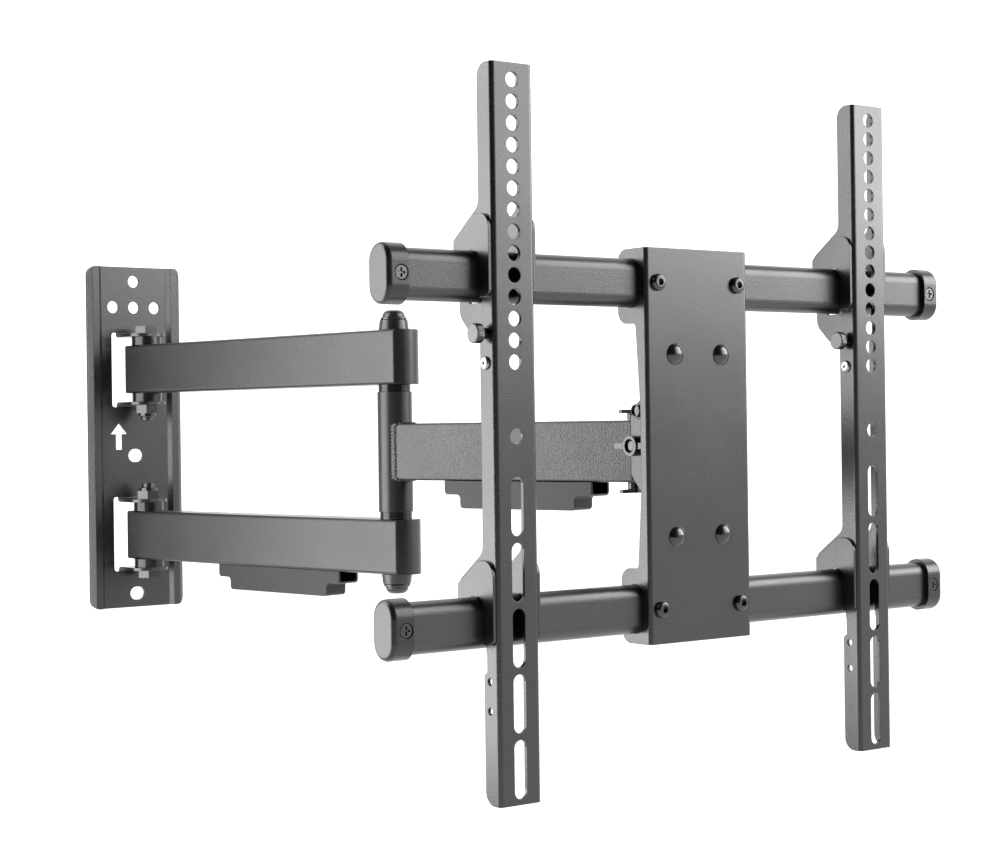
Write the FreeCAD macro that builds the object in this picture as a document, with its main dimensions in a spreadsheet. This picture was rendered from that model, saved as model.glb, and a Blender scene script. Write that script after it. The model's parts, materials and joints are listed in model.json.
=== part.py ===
import FreeCAD, Part
import math
import os
import Sketcher

# A full-motion wall mount for a flat screen: a slotted wall plate, a pair of stacked arms,
# a forearm on an elbow tube, a swivel and tilt head, two cross tubes and two hook rails.
# Millimetres. X runs along the wall, Y points into the wall and Z is up.
# The origin is the middle of the wall plate's back face.

DOC = FreeCAD.newDocument("WallMount")
SHEET = DOC.addObject("Spreadsheet::Sheet", "Sizes")
VECTOR = FreeCAD.Vector
UP = VECTOR(0, 0, 1)
OVERCUT = 1.0
DOME_SHARE = 0.98
FULL_TURN = 360
FLIP_ABOUT_Y = ((0, 1, 0), 180)
SUBPARTS = []
ROWS = []


class Size:
    """A number with the sheet formula that gives it, so one line of arithmetic makes both."""

    def __init__(self, number, formula):
        self.number = number
        self.formula = formula

    def __add__(self, other):
        other = as_size(other)
        return Size(self.number + other.number, f"({self.formula} + {other.formula})")

    def __sub__(self, other):
        other = as_size(other)
        return Size(self.number - other.number, f"({self.formula} - {other.formula})")

    def __mul__(self, other):
        other = as_size(other)
        return Size(self.number * other.number, f"({self.formula} * {other.formula})")

    def __truediv__(self, other):
        other = as_size(other)
        return Size(self.number / other.number, f"({self.formula} / {other.formula})")

    def __rsub__(self, other):
        return as_size(other) - self

    def __neg__(self):
        return as_size(0) - self

    __radd__ = __add__
    __rmul__ = __mul__


def as_size(value):
    """Turn a plain number into a Size."""
    if isinstance(value, Size):
        return value
    return Size(float(value), f"({value})")


def sine(angle):
    return Size(math.sin(math.radians(angle.number)), f"sin({angle.formula})")


def cosine(angle):
    return Size(math.cos(math.radians(angle.number)), f"cos({angle.formula})")


def root(value):
    return Size(math.sqrt(value.number), f"sqrt({value.formula})")


def cell(alias, number, note):
    """One driving dimension: its name, number and meaning go into the sheet."""
    ROWS.append(alias)
    row = len(ROWS)
    SHEET.set(f"A{row}", note)
    SHEET.set(f"B{row}", str(number))
    SHEET.setAlias(f"B{row}", alias)
    return Size(float(number), f"Sizes.{alias}")


# Wall plate
plate_tall = cell("plate_tall", 280, "wall plate height")
plate_wide = cell("plate_wide", 83, "wall plate width")
plate_sheet = cell("plate_sheet", 2.5, "wall plate sheet thickness")
plate_corner = cell("plate_corner", 7, "wall plate corner radius")
panel_wide = cell("panel_wide", 58, "flat panel between the ribs")
rib_rise = cell("rib_rise", 3, "height of the ribs off the wall")
rib_flat = cell("rib_flat", 5.5, "flat top of each rib")
rib_slope = cell("rib_slope", 3.2, "run of each rib's inner slope")
wall_hole = cell("wall_hole", 10, "diameter of the wall screw holes")
top_hole_up = cell("top_hole_up", 128.2, "single top hole above the middle")
row_hole_up = cell("row_hole_up", 106.8, "row of three holes above the middle")
row_hole_pitch = cell("row_hole_pitch", 18.6, "pitch of the row of three holes")
level_slot_long = cell("level_slot_long", 13, "length of the short level slots")
level_slot_tall = cell("level_slot_tall", 10.7, "height of the short level slots")
middle_slot_down = cell("middle_slot_down", 15.2, "middle slot below the middle")
bottom_slot_down = cell("bottom_slot_down", 128.8, "bottom slot below the middle")
arrow_across = cell("arrow_across", 14.5, "arrow cut-out left of the middle")
arrow_tip_up = cell("arrow_tip_up", 11.6, "arrow tip above the middle")
arrow_head_tall = cell("arrow_head_tall", 9, "height of the arrow's head")
arrow_head_wide = cell("arrow_head_wide", 15, "width of the arrow's head")
arrow_shaft_wide = cell("arrow_shaft_wide", 6, "width of the arrow's shaft")
arrow_tall = cell("arrow_tall", 21.8, "whole height of the arrow")
window_wide = cell("window_wide", 40.6, "width of the window behind each arm")
window_round = cell("window_round", 2.2, "rounded corners of the windows")
ear_wide = cell("ear_wide", 31, "width of the pivot ears")
ear_gap = cell("ear_gap", 53, "clear gap between a pair of ears")
ear_reach = cell("ear_reach", 36, "ears' reach from the wall")
ear_round = cell("ear_round", 12, "rounded corners of the ears")
ear_bend = cell("ear_bend", 1.2, "inner bend radius of the ears")
bend_relief = cell("bend_relief", 0.3, "straight sheet between bend and window edge")

# Arms
pivot_reach = cell("pivot_reach", 24.6, "wall pivot axis from the wall")
arms_down = cell("arms_down", 12.15, "middle of the arms below the plate's middle")
arm_spread = cell("arm_spread", 67.4, "each wall arm above or below that middle")
arm_length = cell("arm_length", 295.5, "wall pivot to elbow")
arm_swing = cell("arm_swing", 9.56, "wall arms' angle to the wall's normal, degrees")
arm_tall = cell("arm_tall", 39, "height of the wall arms' tube")
arm_wide = cell("arm_wide", 25, "width of the wall arms' tube")
arm_wall = cell("arm_wall", 1.5, "wall of the wall arms' tube")
arm_corner = cell("arm_corner", 2.5, "outer corner radius of the wall arms' tube")
nose_radius = cell("nose_radius", 17.4, "rounded nose about each pivot")
plug_depth = cell("plug_depth", 12, "end plug's depth past the pivot")
plug_gap = cell("plug_gap", 0.1, "end plug's clearance in the tube")
pivot_bolt = cell("pivot_bolt", 10, "diameter of the pivot bolts")
bolt_gap = cell("bolt_gap", 0.05, "radial clearance of a bore on its bolt")
hole_gap = cell("hole_gap", 0.25, "radial clearance of a plain hole on its bolt")
hex_across = cell("hex_across", 16.6, "hexagon across flats")
hex_head_tall = cell("hex_head_tall", 6, "hexagon head height")
hex_nut_tall = cell("hex_nut_tall", 9, "lock nut height")
lock_ring_tall = cell("lock_ring_tall", 2.2, "round locking ring within the nut's height")
lock_ring_share = cell("lock_ring_share", 0.86, "that ring's diameter as a share of the nut's flats")
bolt_past_nut = cell("bolt_past_nut", 3.5, "bolt end past its nut")
wall_bush_across = cell("wall_bush_across", 24, "wall pivot bush diameter")

# Elbow
pipe_across = cell("pipe_across", 24.75, "elbow pipe outer diameter")
pipe_wall = cell("pipe_wall", 2.5, "elbow pipe wall")
ring_across = cell("ring_across", 23, "elbow bush flange and thrust washer diameter")
ring_tall = cell("ring_tall", 2.65, "elbow bush flange and thrust washer thickness")
sleeve_deep = cell("sleeve_deep", 14, "elbow bush sleeve depth in the pipe")
collar_tall = cell("collar_tall", 6.9, "elbow collar height")
collar_base = cell("collar_base", 21.7, "elbow collar diameter at the arm")
collar_top = cell("collar_top", 20, "elbow collar diameter at the washer")
washer_across = cell("washer_across", 18.9, "elbow washer diameter")
washer_tall = cell("washer_tall", 2.1, "elbow washer thickness")
washer_round = cell("washer_round", 0.8, "elbow washer's rounded rim")
dome_across = cell("dome_across", 16.2, "elbow bolt's domed head diameter")
dome_tall = cell("dome_tall", 5, "elbow bolt's domed head height")
dome_nut_floor = cell("dome_nut_floor", 1.8, "metal left over the bolt in the domed nut")

# Forearm
forearm_length = cell("forearm_length", 208.3, "elbow to swivel axis")
forearm_swing = cell("forearm_swing", 14.1, "forearm's angle to the wall's normal, degrees")
forearm_wide = cell("forearm_wide", 20, "width of the forearm tube")
forearm_tall = cell("forearm_tall", 40, "height of the forearm tube")
forearm_wall = cell("forearm_wall", 1.5, "wall of the forearm tube")
forearm_corner = cell("forearm_corner", 2, "outer corner radius of the forearm tube")
side_past_swivel = cell("side_past_swivel", 5, "side walls' end past the swivel axis")
lip_past_swivel = cell("lip_past_swivel", 12, "top and bottom lips' end past the swivel axis")

# Cable clips
clip_wall = cell("clip_wall", 1.6, "wall of the cable clips")
clip_tall = cell("clip_tall", 18.9, "height of the cable clips")
clip_step_down = cell("clip_step_down", 9.5, "step in the clips' ends below their top")
clip_step_long = cell("clip_step_long", 14, "length of the stepped ends")
clip_round = cell("clip_round", 3, "corner radius of the stepped ends")
arm_clip_wide = cell("arm_clip_wide", 18.6, "lower arm's clip width")
arm_clip_near = cell("arm_clip_near", 52, "lower arm's clip from the elbow")
arm_clip_long = cell("arm_clip_long", 140, "lower arm's clip length")
fore_clip_wide = cell("fore_clip_wide", 19.6, "forearm's clip width")
fore_clip_near = cell("fore_clip_near", 54.5, "forearm's clip from the elbow")
fore_clip_long = cell("fore_clip_long", 126.5, "forearm's clip length")
strap_long = cell("strap_long", 9, "length of the straps across a clip")
strap_inset = cell("strap_inset", 22, "straps' distance from the clip's ends")
peg_across = cell("peg_across", 5, "snap peg diameter")
peg_tall = cell("peg_tall", 4, "snap peg height")

# Head
tilt_reach = cell("tilt_reach", 39, "swivel axis to tilt axis")
tilt_rise = cell("tilt_rise", 4.05, "tilt axis above the middle of the arms")
barrel_across = cell("barrel_across", 16.6, "swivel barrel diameter")
barrel_gap = cell("barrel_gap", 0.1, "barrel's clearance under the forearm's walls")
neck_thick = cell("neck_thick", 4, "neck plate thickness")
neck_tall = cell("neck_tall", 26, "neck plate height")
stud_across = cell("stud_across", 6, "swivel stud diameter")
yoke_half = cell("yoke_half", 21.2, "outer face of the yoke's cheeks from the middle")
yoke_sheet = cell("yoke_sheet", 3, "yoke sheet thickness")
yoke_behind = cell("yoke_behind", 15, "yoke's back behind the tilt axis")
yoke_slant = cell("yoke_slant", 8, "slant of the top rear corners of the cheeks")
yoke_bend = cell("yoke_bend", 2.6, "outer bend radius of the yoke")
yoke_front_high = cell("yoke_front_high", 12, "yoke's front edge before the tilt axis, at the top")
yoke_front_low = cell("yoke_front_low", 11, "yoke's front edge before the tilt axis, at the bottom")
yoke_up = cell("yoke_up", 29, "yoke's top above the tilt axis")
yoke_down = cell("yoke_down", 17, "yoke's bottom below the tilt axis")
friction_thick = cell("friction_thick", 1, "friction washer thickness")
friction_across = cell("friction_across", 17, "friction washer diameter")
bracket_sheet = cell("bracket_sheet", 3, "tilt bracket sheet thickness")
bracket_rear = cell("bracket_rear", 12, "tilt bracket's rear edge behind the tilt axis")
bracket_straight = cell("bracket_straight", 18.6, "straight half of its rear edge")
bracket_slant_up = cell("bracket_slant_up", 34, "half height of its cheeks")
bracket_slant_rear = cell("bracket_slant_rear", 2, "cheek's slant end before the tilt axis")
bracket_tall = cell("bracket_tall", 134, "height of its web")
tilt_bolt_across = cell("tilt_bolt_across", 6, "tilt bolt diameter")
tilt_head_across = cell("tilt_head_across", 14, "tilt bolt's domed head diameter")
tilt_head_tall = cell("tilt_head_tall", 4, "tilt bolt's domed head height")
lock_up = cell("lock_up", 21.8, "lock bolt above the tilt axis")
lock_front = cell("lock_front", 1.5, "lock bolt before the tilt axis")
lock_head_tall = cell("lock_head_tall", 3.5, "lock bolt's head height")
lock_head_across = cell("lock_head_across", 10, "lock bolt's head diameter")
tilt_down = cell("tilt_down", 15, "tilt that turns the screen down, degrees")
tilt_back = cell("tilt_back", 5, "tilt that turns the screen up, degrees")
slot_room = cell("slot_room", 0.6, "lock slot's radial clearance on its bolt")

# Knobs
knob_gap = cell("knob_gap", 0.3, "gap between a knob and the face it stands on")
tilt_hub_across = cell("tilt_hub_across", 12.8, "tilt knob hub diameter")
tilt_hub_long = cell("tilt_hub_long", 11.5, "tilt knob hub length")
tilt_recess_across = cell("tilt_recess_across", 8.6, "tilt knob recess diameter")
tilt_recess_deep = cell("tilt_recess_deep", 3, "tilt knob recess depth")
tilt_wing_reach = cell("tilt_wing_reach", 16, "tilt knob wing reach from its axis")
tilt_wing_thick = cell("tilt_wing_thick", 4.4, "tilt knob wing thickness")
tilt_wing_deep = cell("tilt_wing_deep", 6.5, "tilt knob wing depth along its axis")
wing_setback = cell("wing_setback", 1, "wings' setback from the hub's face")
wing_tip_share = cell("wing_tip_share", 0.4, "rounding of the wings' tips as a share of their width")
lock_hub_across = cell("lock_hub_across", 12.2, "lock knob base diameter")
lock_hub_long = cell("lock_hub_long", 3.6, "lock knob base length")
lock_ring_across = cell("lock_ring_across", 8.4, "lock knob ring diameter")
lock_ring_long = cell("lock_ring_long", 4, "lock knob ring length")
lock_recess_across = cell("lock_recess_across", 6.6, "lock knob recess diameter")
lock_recess_deep = cell("lock_recess_deep", 2.5, "lock knob recess depth")
swivel_hub_across = cell("swivel_hub_across", 8, "swivel knob hub diameter")
swivel_hub_long = cell("swivel_hub_long", 6.6, "swivel knob hub length")
swivel_wing_reach = cell("swivel_wing_reach", 11, "swivel knob wing reach from its axis")
swivel_wing_thick = cell("swivel_wing_thick", 5, "swivel knob wing width")
swivel_wing_deep = cell("swivel_wing_deep", 2.3, "swivel knob wing depth along its axis")

# Centre plate
centre_wide = cell("centre_wide", 84.5, "centre plate width")
centre_tall = cell("centre_tall", 242.5, "centre plate height")
centre_sheet = cell("centre_sheet", 3, "centre plate sheet thickness")
centre_back = cell("centre_back", 21, "centre plate's back before the tilt axis")
centre_bend = cell("centre_bend", 2.6, "centre plate's outer bend radius")
centre_flange = cell("centre_flange", 10.3, "depth of its side flanges")
centre_waist = cell("centre_waist", 6.7, "depth of its side flanges at the waist")
centre_waist_tall = cell("centre_waist_tall", 48, "height of that waist")
centre_waist_round = cell("centre_waist_round", 20, "rounding at the waist's ends")
centre_ear_deep = cell("centre_ear_deep", 26.5, "depth of its ears at the tubes")
centre_ear_tall = cell("centre_ear_tall", 46, "height of each ear")
centre_ear_round = cell("centre_ear_round", 8, "rounded corners of the ears")
carriage_across = cell("carriage_across", 38.4, "carriage bolts' spacing across")
carriage_up = cell("carriage_up", 112.4, "carriage bolts' spacing up")
carriage_bolt = cell("carriage_bolt", 6, "carriage bolt diameter")
carriage_head = cell("carriage_head", 13.2, "carriage bolt head diameter")
carriage_dome = cell("carriage_dome", 3.4, "carriage bolt head height")
head_rim = cell("head_rim", 0.4, "straight rim under a domed head")
carriage_past = cell("carriage_past", 1.5, "carriage bolt's end past its nut")
small_nut_across = cell("small_nut_across", 10, "small nuts across flats")
small_nut_tall = cell("small_nut_tall", 5, "small nuts' height")
tube_screw_across = cell("tube_screw_across", 65.6, "tube screws' spacing across")
tube_screw = cell("tube_screw", 6, "tube screw diameter")
tube_screw_head = cell("tube_screw_head", 10.5, "tube screw head diameter")
tube_screw_dome = cell("tube_screw_dome", 3.3, "tube screw head height")
tube_screw_rim = cell("tube_screw_rim", 1, "straight rim of the tube screw's head")
tube_screw_long = cell("tube_screw_long", 13, "tube screw length")
socket_across = cell("socket_across", 4, "hexagon socket across flats")
socket_deep = cell("socket_deep", 2, "hexagon socket depth")

# Cross tubes
tube_spread = cell("tube_spread", 200, "cross tubes apart, axis to axis")
tube_tall = cell("tube_tall", 30, "cross tube height")
tube_deep = cell("tube_deep", 15, "cross tube depth")
tube_wall = cell("tube_wall", 1.5, "cross tube wall")
tube_reach = cell("tube_reach", 226.9, "half width over the caps")
tube_gap = cell("tube_gap", 0.15, "tube's clearance in the centre plate's ears")
tube_set_back = cell("tube_set_back", 3.9, "tube's front behind the centre plate's sheet")
cap_tall = cell("cap_tall", 35, "end cap height")
cap_deep = cell("cap_deep", 21.5, "end cap depth")
cap_long = cell("cap_long", 14, "end cap length")
cap_floor = cell("cap_floor", 2.5, "end cap's closed end")
cap_round = cell("cap_round", 2.8, "end cap's rounded outer edge")
cap_screw_in = cell("cap_screw_in", 8.9, "cap screw from the cap's end")
cap_screw_head = cell("cap_screw_head", 8, "cap screw head diameter")
cap_screw_room = cell("cap_screw_room", 0.6, "ring of room round the cap screw's head")
cap_screw_sunk = cell("cap_screw_sunk", 0.3, "cap screw head below the cap's front")
cap_screw = cell("cap_screw", 3.5, "cap screw diameter")
cap_screw_long = cell("cap_screw_long", 8, "cap screw length")
cross_wide = cell("cross_wide", 1.2, "cross recess width")
cross_long = cell("cross_long", 5.2, "cross recess length")
cross_deep = cell("cross_deep", 1.2, "cross recess depth")

# Hook rails
rail_left = cell("rail_left", 146, "left rail left of the middle")
rail_right = cell("rail_right", 149.7, "right rail right of the middle")
rail_wide = cell("rail_wide", 30, "rail width")
rail_sheet = cell("rail_sheet", 2, "rail sheet thickness")
rail_bend = cell("rail_bend", 2.7, "rail's outer bend radius")
rail_front = cell("rail_front", 29, "rail's front face before the tilt axis")
rail_top = cell("rail_top", 222.4, "rail's top above the tilt axis")
rail_bottom = cell("rail_bottom", 204.6, "rail's bottom below the tilt axis")
rail_flange = cell("rail_flange", 13.8, "depth of the rail's flanges")
rail_end_round = cell("rail_end_round", 8, "rounded ends of the flanges")
hook_rear = cell("hook_rear", 7.3, "hooks' rear edge behind the tilt axis")
hook_flare_up = cell("hook_flare_up", 40.8, "start of the hook's flare above its tube's axis")
hook_shoulder_up = cell("hook_shoulder_up", 24.4, "hook's rear shoulder above its tube's axis")
hook_foot_down = cell("hook_foot_down", 13, "hook's rear foot below its tube's axis")
hook_gap = cell("hook_gap", 0.3, "hook's clearance round its tube")
waist_deep = cell("waist_deep", 11, "flange depth below each hook")
waist_top_down = cell("waist_top_down", 17, "top of that waist below the tube's axis")
waist_end_down = cell("waist_end_down", 28.7, "end of that waist below the tube's axis")
round_hole = cell("round_hole", 9, "screen screw hole diameter")
round_hole_pitch = cell("round_hole_pitch", 12.5, "pitch of the screen screw holes")
round_hole_count = cell("round_hole_count", 14, "number of screen screw holes")
round_hole_top = cell("round_hole_top", 9.7, "first hole below the rail's top")
single_hole_down = cell("single_hole_down", 205.2, "lone hole below the first one")
slot_long = cell("slot_long", 34, "length of the rail's slots")
slot_wide = cell("slot_wide", 9, "width of the rail's slots")
slot_pitch = cell("slot_pitch", 37.8, "pitch of the rail's slots")
slot_count = cell("slot_count", 5, "number of the rail's slots")
slot_first_down = cell("slot_first_down", 245.7, "first slot's middle below the first hole")
doubler_sheet = cell("doubler_sheet", 2, "hook plate thickness")
doubler_front = cell("doubler_front", 1.8, "hook plate behind the rail's front face")
doubler_top_up = cell("doubler_top_up", 36, "hook plate's top above its tube's axis")
doubler_top_round = cell("doubler_top_round", 9, "hook plate's rounded top")
doubler_shoulder_up = cell("doubler_shoulder_up", 22, "hook plate's rear shoulder above its tube's axis")
doubler_foot_down = cell("doubler_foot_down", 12.5, "hook plate's foot below its tube's axis")

# Latches
latch_sheet = cell("latch_sheet", 2, "latch thickness")
latch_gap = cell("latch_gap", 0.2, "latch's clearance to the rail")
latch_front = cell("latch_front", 3.5, "latch's front edge behind the rail's front face")
latch_top_down = cell("latch_top_down", 15.2, "latch's top below the tube's axis")
latch_top_fall = cell("latch_top_fall", 0.6, "fall of that top from the rivet to its front edge")
latch_lug_up = cell("latch_lug_up", 3.4, "latch's lug behind the tube above its top")
latch_rear = cell("latch_rear", 7.6, "latch's rear edge behind the tilt axis")
latch_shoulder_down = cell("latch_shoulder_down", 22, "end of that edge below the tube's axis")
latch_belly_front = cell("latch_belly_front", 3, "latch's belly before the tilt axis")
latch_belly_down = cell("latch_belly_down", 32.6, "latch's belly below the tube's axis")
latch_heel_down = cell("latch_heel_down", 39.4, "latch's heel below the tube's axis")
latch_screw_down = cell("latch_screw_down", 33.3, "latch screw below the tube's axis")
latch_rivet_down = cell("latch_rivet_down", 50.3, "latch rivet below the tube's axis")
latch_axis_deep = cell("latch_axis_deep", 8.5, "latch screw and rivet behind the rail's front face")
latch_foot_round = cell("latch_foot_round", 4.8, "latch's rounded foot about the rivet")
notch_run = cell("notch_run", 2.2, "latch notch's open end before the latch's front edge")
notch_drop = cell("notch_drop", 1.6, "drop of the latch notch's open end")
flange_hole = cell("flange_hole", 4.5, "diameter of the holes in the rail's flange")
rivet_head = cell("rivet_head", 8, "rivet head diameter")
rivet_dome = cell("rivet_dome", 1.8, "rivet head height")
rivet_rim = cell("rivet_rim", 0.4, "straight rim of the rivet's head")
rivet_eye = cell("rivet_eye", 1.8, "dimple in the rivet's head")
rivet_eye_deep = cell("rivet_eye_deep", 0.9, "depth of that dimple")
rivet_tail = cell("rivet_tail", 1, "thickness of the rivet's flattened tail")
rivet_tail_share = cell("rivet_tail_share", 0.8, "tail's width as a share of the head's")
thumb_head = cell("thumb_head", 11.5, "thumb screw head diameter")
thumb_head_long = cell("thumb_head_long", 5.5, "thumb screw head length")
thumb_neck = cell("thumb_neck", 6.5, "thumb screw neck diameter")
thumb_neck_long = cell("thumb_neck_long", 3.3, "thumb screw neck length")
thumb_past = cell("thumb_past", 2, "thumb screw's end past the latch")

# Points that the pieces share
arms_level = -arms_down
arm_turn = arm_swing - 90
forearm_turn = forearm_swing - 90
elbow_x = arm_length * sine(arm_swing)
elbow_y = -pivot_reach - arm_length * cosine(arm_swing)
swivel_x = elbow_x + forearm_length * sine(forearm_swing)
swivel_y = elbow_y - forearm_length * cosine(forearm_swing)
WALL_PIVOT = (0, -pivot_reach, arms_level)
ELBOW = (elbow_x, elbow_y, arms_level)
SWIVEL = (swivel_x, swivel_y, arms_level)
TILT = (swivel_x, swivel_y - tilt_reach, arms_level + tilt_rise)
upper_level = arms_level + arm_spread
lower_level = arms_level - arm_spread
arm_gap = arm_spread * 2 - arm_tall
tube_middle = tube_deep / 2 + tube_set_back - centre_back


def new_body(label):
    body = DOC.addObject("PartDesign::Body", label)
    body.Label = label
    return body


def keep(thing, label):
    """Name a finished sub-part; its label is the name of its file."""
    thing.Label = label
    SUBPARTS.append(thing)
    return thing


def place(thing, spot, turn=None, axis=(0, 0, 1)):
    """Put a piece at a spot, turned by an angle about an axis, both bound to the sheet."""
    if turn is not None:
        rotation = FreeCAD.Rotation(VECTOR(*axis), as_size(turn).number)
        thing.Placement = FreeCAD.Placement(VECTOR(), rotation)
        thing.setExpression("Placement.Rotation.Angle", as_size(turn).formula)
    for letter, value in zip("xyz", spot):
        thing.setExpression(f"Placement.Base.{letter}", as_size(value).formula)
    return thing


def new_sketch(body, role, lift=0):
    """Empty sketch on one of the body's own planes, lifted along the plane's normal."""
    sketch = body.newObject("Sketcher::SketchObject", body.Name + "_sketch")
    plane = [feature for feature in body.Origin.OriginFeatures if feature.Role == role][0]
    sketch.AttachmentSupport = [(plane, "")]
    sketch.MapMode = "FlatFace"
    sketch.setExpression("AttachmentOffset.Base.z", as_size(lift).formula)
    return sketch


def bind(sketch, kind, elements, value):
    """One dimension of a sketch, bound to the sheet."""
    value = as_size(value)
    index = sketch.addConstraint(Sketcher.Constraint(kind, *elements, value.number))
    sketch.setExpression(f"Constraints[{index}]", value.formula)


def pin(sketch, element, end, x, y):
    """Hold a point of a sketch at its distances from the origin."""
    bind(sketch, "DistanceX", (-1, 1, element, end), x)
    bind(sketch, "DistanceY", (-1, 1, element, end), y)


def end_near(sketch, element, point):
    """Which end of an arc lies at a point, 1 or 2."""
    if sketch.getPoint(element, 1).distanceToPoint(point) < 0.001:
        return 1
    return 2


def draw_outline(sketch, corners):
    """Closed outline through the corners; a third value in a corner rounds it to that radius."""
    count = len(corners)
    points = [VECTOR(as_size(corner[0]).number, as_size(corner[1]).number, 0) for corner in corners]
    starts = []
    ends = []
    middles = []
    for index, corner in enumerate(corners):
        here = points[index]
        back = (points[index - 1] - here).normalize()
        ahead = (points[(index + 1) % count] - here).normalize()
        if len(corner) == 2:
            starts.append(here)
            ends.append(here)
            middles.append(None)
            continue
        radius = as_size(corner[2]).number
        half = back.getAngle(ahead) / 2
        run = radius / math.tan(half)
        centre_run = radius / math.sin(half)
        starts.append(here + back * run)
        ends.append(here + ahead * run)
        middles.append(here + (back + ahead).normalize() * (centre_run - radius))
    lines = []
    for index in range(count):
        line = Part.LineSegment(ends[index], starts[(index + 1) % count])
        lines.append(sketch.addGeometry(line))
    for index, corner in enumerate(corners):
        before = lines[index - 1]
        after = lines[index]
        if middles[index] is None:
            sketch.addConstraint(Sketcher.Constraint("Coincident", before, 2, after, 1))
            pin(sketch, after, 1, corner[0], corner[1])
            continue
        arc = sketch.addGeometry(Part.Arc(starts[index], middles[index], ends[index]))
        first = end_near(sketch, arc, starts[index])
        mark = sketch.addGeometry(Part.Point(points[index]), True)
        pin(sketch, mark, 1, corner[0], corner[1])
        sketch.addConstraint(Sketcher.Constraint("PointOnObject", mark, 1, before))
        sketch.addConstraint(Sketcher.Constraint("PointOnObject", mark, 1, after))
        sketch.addConstraint(Sketcher.Constraint("Tangent", before, 2, arc, first))
        sketch.addConstraint(Sketcher.Constraint("Tangent", arc, 3 - first, after, 1))
        bind(sketch, "Radius", (arc,), corner[2])


def draw_circle(sketch, x, y, diameter):
    centre = VECTOR(as_size(x).number, as_size(y).number, 0)
    circle = sketch.addGeometry(Part.Circle(centre, UP, as_size(diameter).number / 2))
    pin(sketch, circle, 3, x, y)
    bind(sketch, "Diameter", (circle,), diameter)


def draw_slot(sketch, first, second, radius):
    """Round-ended slot between two centres."""
    spots = []
    for x, y in (first, second):
        spots.append(VECTOR(as_size(x).number, as_size(y).number, 0))
    along = (spots[1] - spots[0]).normalize()
    across = VECTOR(-along.y, along.x, 0) * as_size(radius).number
    reach = along * as_size(radius).number
    near = Part.Arc(spots[0] + across, spots[0] - reach, spots[0] - across)
    far = Part.Arc(spots[1] - across, spots[1] + reach, spots[1] + across)
    near_arc = sketch.addGeometry(near)
    far_arc = sketch.addGeometry(far)
    low_line = sketch.addGeometry(Part.LineSegment(spots[0] - across, spots[1] - across))
    high_line = sketch.addGeometry(Part.LineSegment(spots[1] + across, spots[0] + across))
    near_low = end_near(sketch, near_arc, spots[0] - across)
    far_low = end_near(sketch, far_arc, spots[1] - across)
    sketch.addConstraint(Sketcher.Constraint("Tangent", near_arc, near_low, low_line, 1))
    sketch.addConstraint(Sketcher.Constraint("Tangent", low_line, 2, far_arc, far_low))
    sketch.addConstraint(Sketcher.Constraint("Tangent", far_arc, 3 - far_low, high_line, 1))
    sketch.addConstraint(Sketcher.Constraint("Tangent", high_line, 2, near_arc, 3 - near_low))
    sketch.addConstraint(Sketcher.Constraint("Equal", near_arc, far_arc))
    pin(sketch, near_arc, 3, *first)
    pin(sketch, far_arc, 3, *second)
    bind(sketch, "Radius", (near_arc,), radius)


def pad(body, sketch, length):
    feature = body.newObject("PartDesign::Pad", body.Name + "_pad")
    feature.Profile = sketch
    feature.setExpression("Length", as_size(length).formula)
    return feature


def pocket(body, sketch, length):
    """Cut from the sketch along its own normal."""
    feature = body.newObject("PartDesign::Pocket", body.Name + "_pocket")
    feature.Profile = sketch
    feature.Reversed = True
    feature.setExpression("Length", as_size(length).formula)
    return feature


def dome_over(radius, rim, top):
    """Corners of a profile that rises from a rim in one arc to the top on the axis."""
    rise = top - rim
    ball = (radius * radius + rise * rise) / (rise * 2)
    flank = (radius * radius + rise * rise) / (radius * 2)
    return [(radius, rim), (flank, top, ball * DOME_SHARE), (0, top)]


def turn_up(body, corners):
    """Turn an outline of (radius, height) corners about the body's Z axis."""
    sketch = new_sketch(body, "XZ_Plane")
    draw_outline(sketch, corners)
    feature = body.newObject("PartDesign::Revolution", body.Name + "_turned")
    feature.Profile = sketch
    feature.ReferenceAxis = (sketch, ["V_Axis"])
    feature.Angle = FULL_TURN
    return feature


def round_edges(body, chosen, radius):
    """Round the edges of the body's tip that a test picks."""
    DOC.recompute()
    base = body.Tip
    names = []
    for index, edge in enumerate(base.Shape.Edges, 1):
        if chosen(edge):
            names.append(f"Edge{index}")
    feature = body.newObject("PartDesign::Fillet", body.Name + "_round")
    feature.Base = (base, names)
    feature.setExpression("Radius", as_size(radius).formula)
    return feature


def runs_along(edge, letter):
    """Whether an edge is straight and lies along an axis."""
    if len(edge.Vertexes) != 2 or edge.Curve.TypeId != "Part::GeomLine":
        return False
    step = edge.Vertexes[1].Point - edge.Vertexes[0].Point
    return abs(abs(getattr(step, letter)) - step.Length) < 0.001


def lies_at(edge, letter, value):
    """Whether both ends of an edge lie at a value of one coordinate."""
    value = as_size(value).number
    return all(abs(getattr(vertex.Point, letter) - value) < 0.001 for vertex in edge.Vertexes)


def lies_on_rim(edge, across):
    """Whether both ends of an edge lie on an upright cylinder about the origin."""
    radius = as_size(across).number / 2
    spots = [vertex.Point for vertex in edge.Vertexes]
    return all(abs(math.hypot(spot.x, spot.y) - radius) < 0.001 for spot in spots)


def block(label, low, size):
    """Rectangular block from its low corner and its size."""
    thing = DOC.addObject("Part::Box", label)
    for name, value in zip(("Length", "Width", "Height"), size):
        thing.setExpression(name, as_size(value).formula)
    return place(thing, low)


def rod(label, radius, height, spot=(0, 0, 0), turn=None, axis=(0, 0, 1)):
    """Cylinder that starts at a spot and runs up its own axis."""
    thing = DOC.addObject("Part::Cylinder", label)
    thing.setExpression("Radius", as_size(radius).formula)
    thing.setExpression("Height", as_size(height).formula)
    return place(thing, spot, turn, axis)


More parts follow.
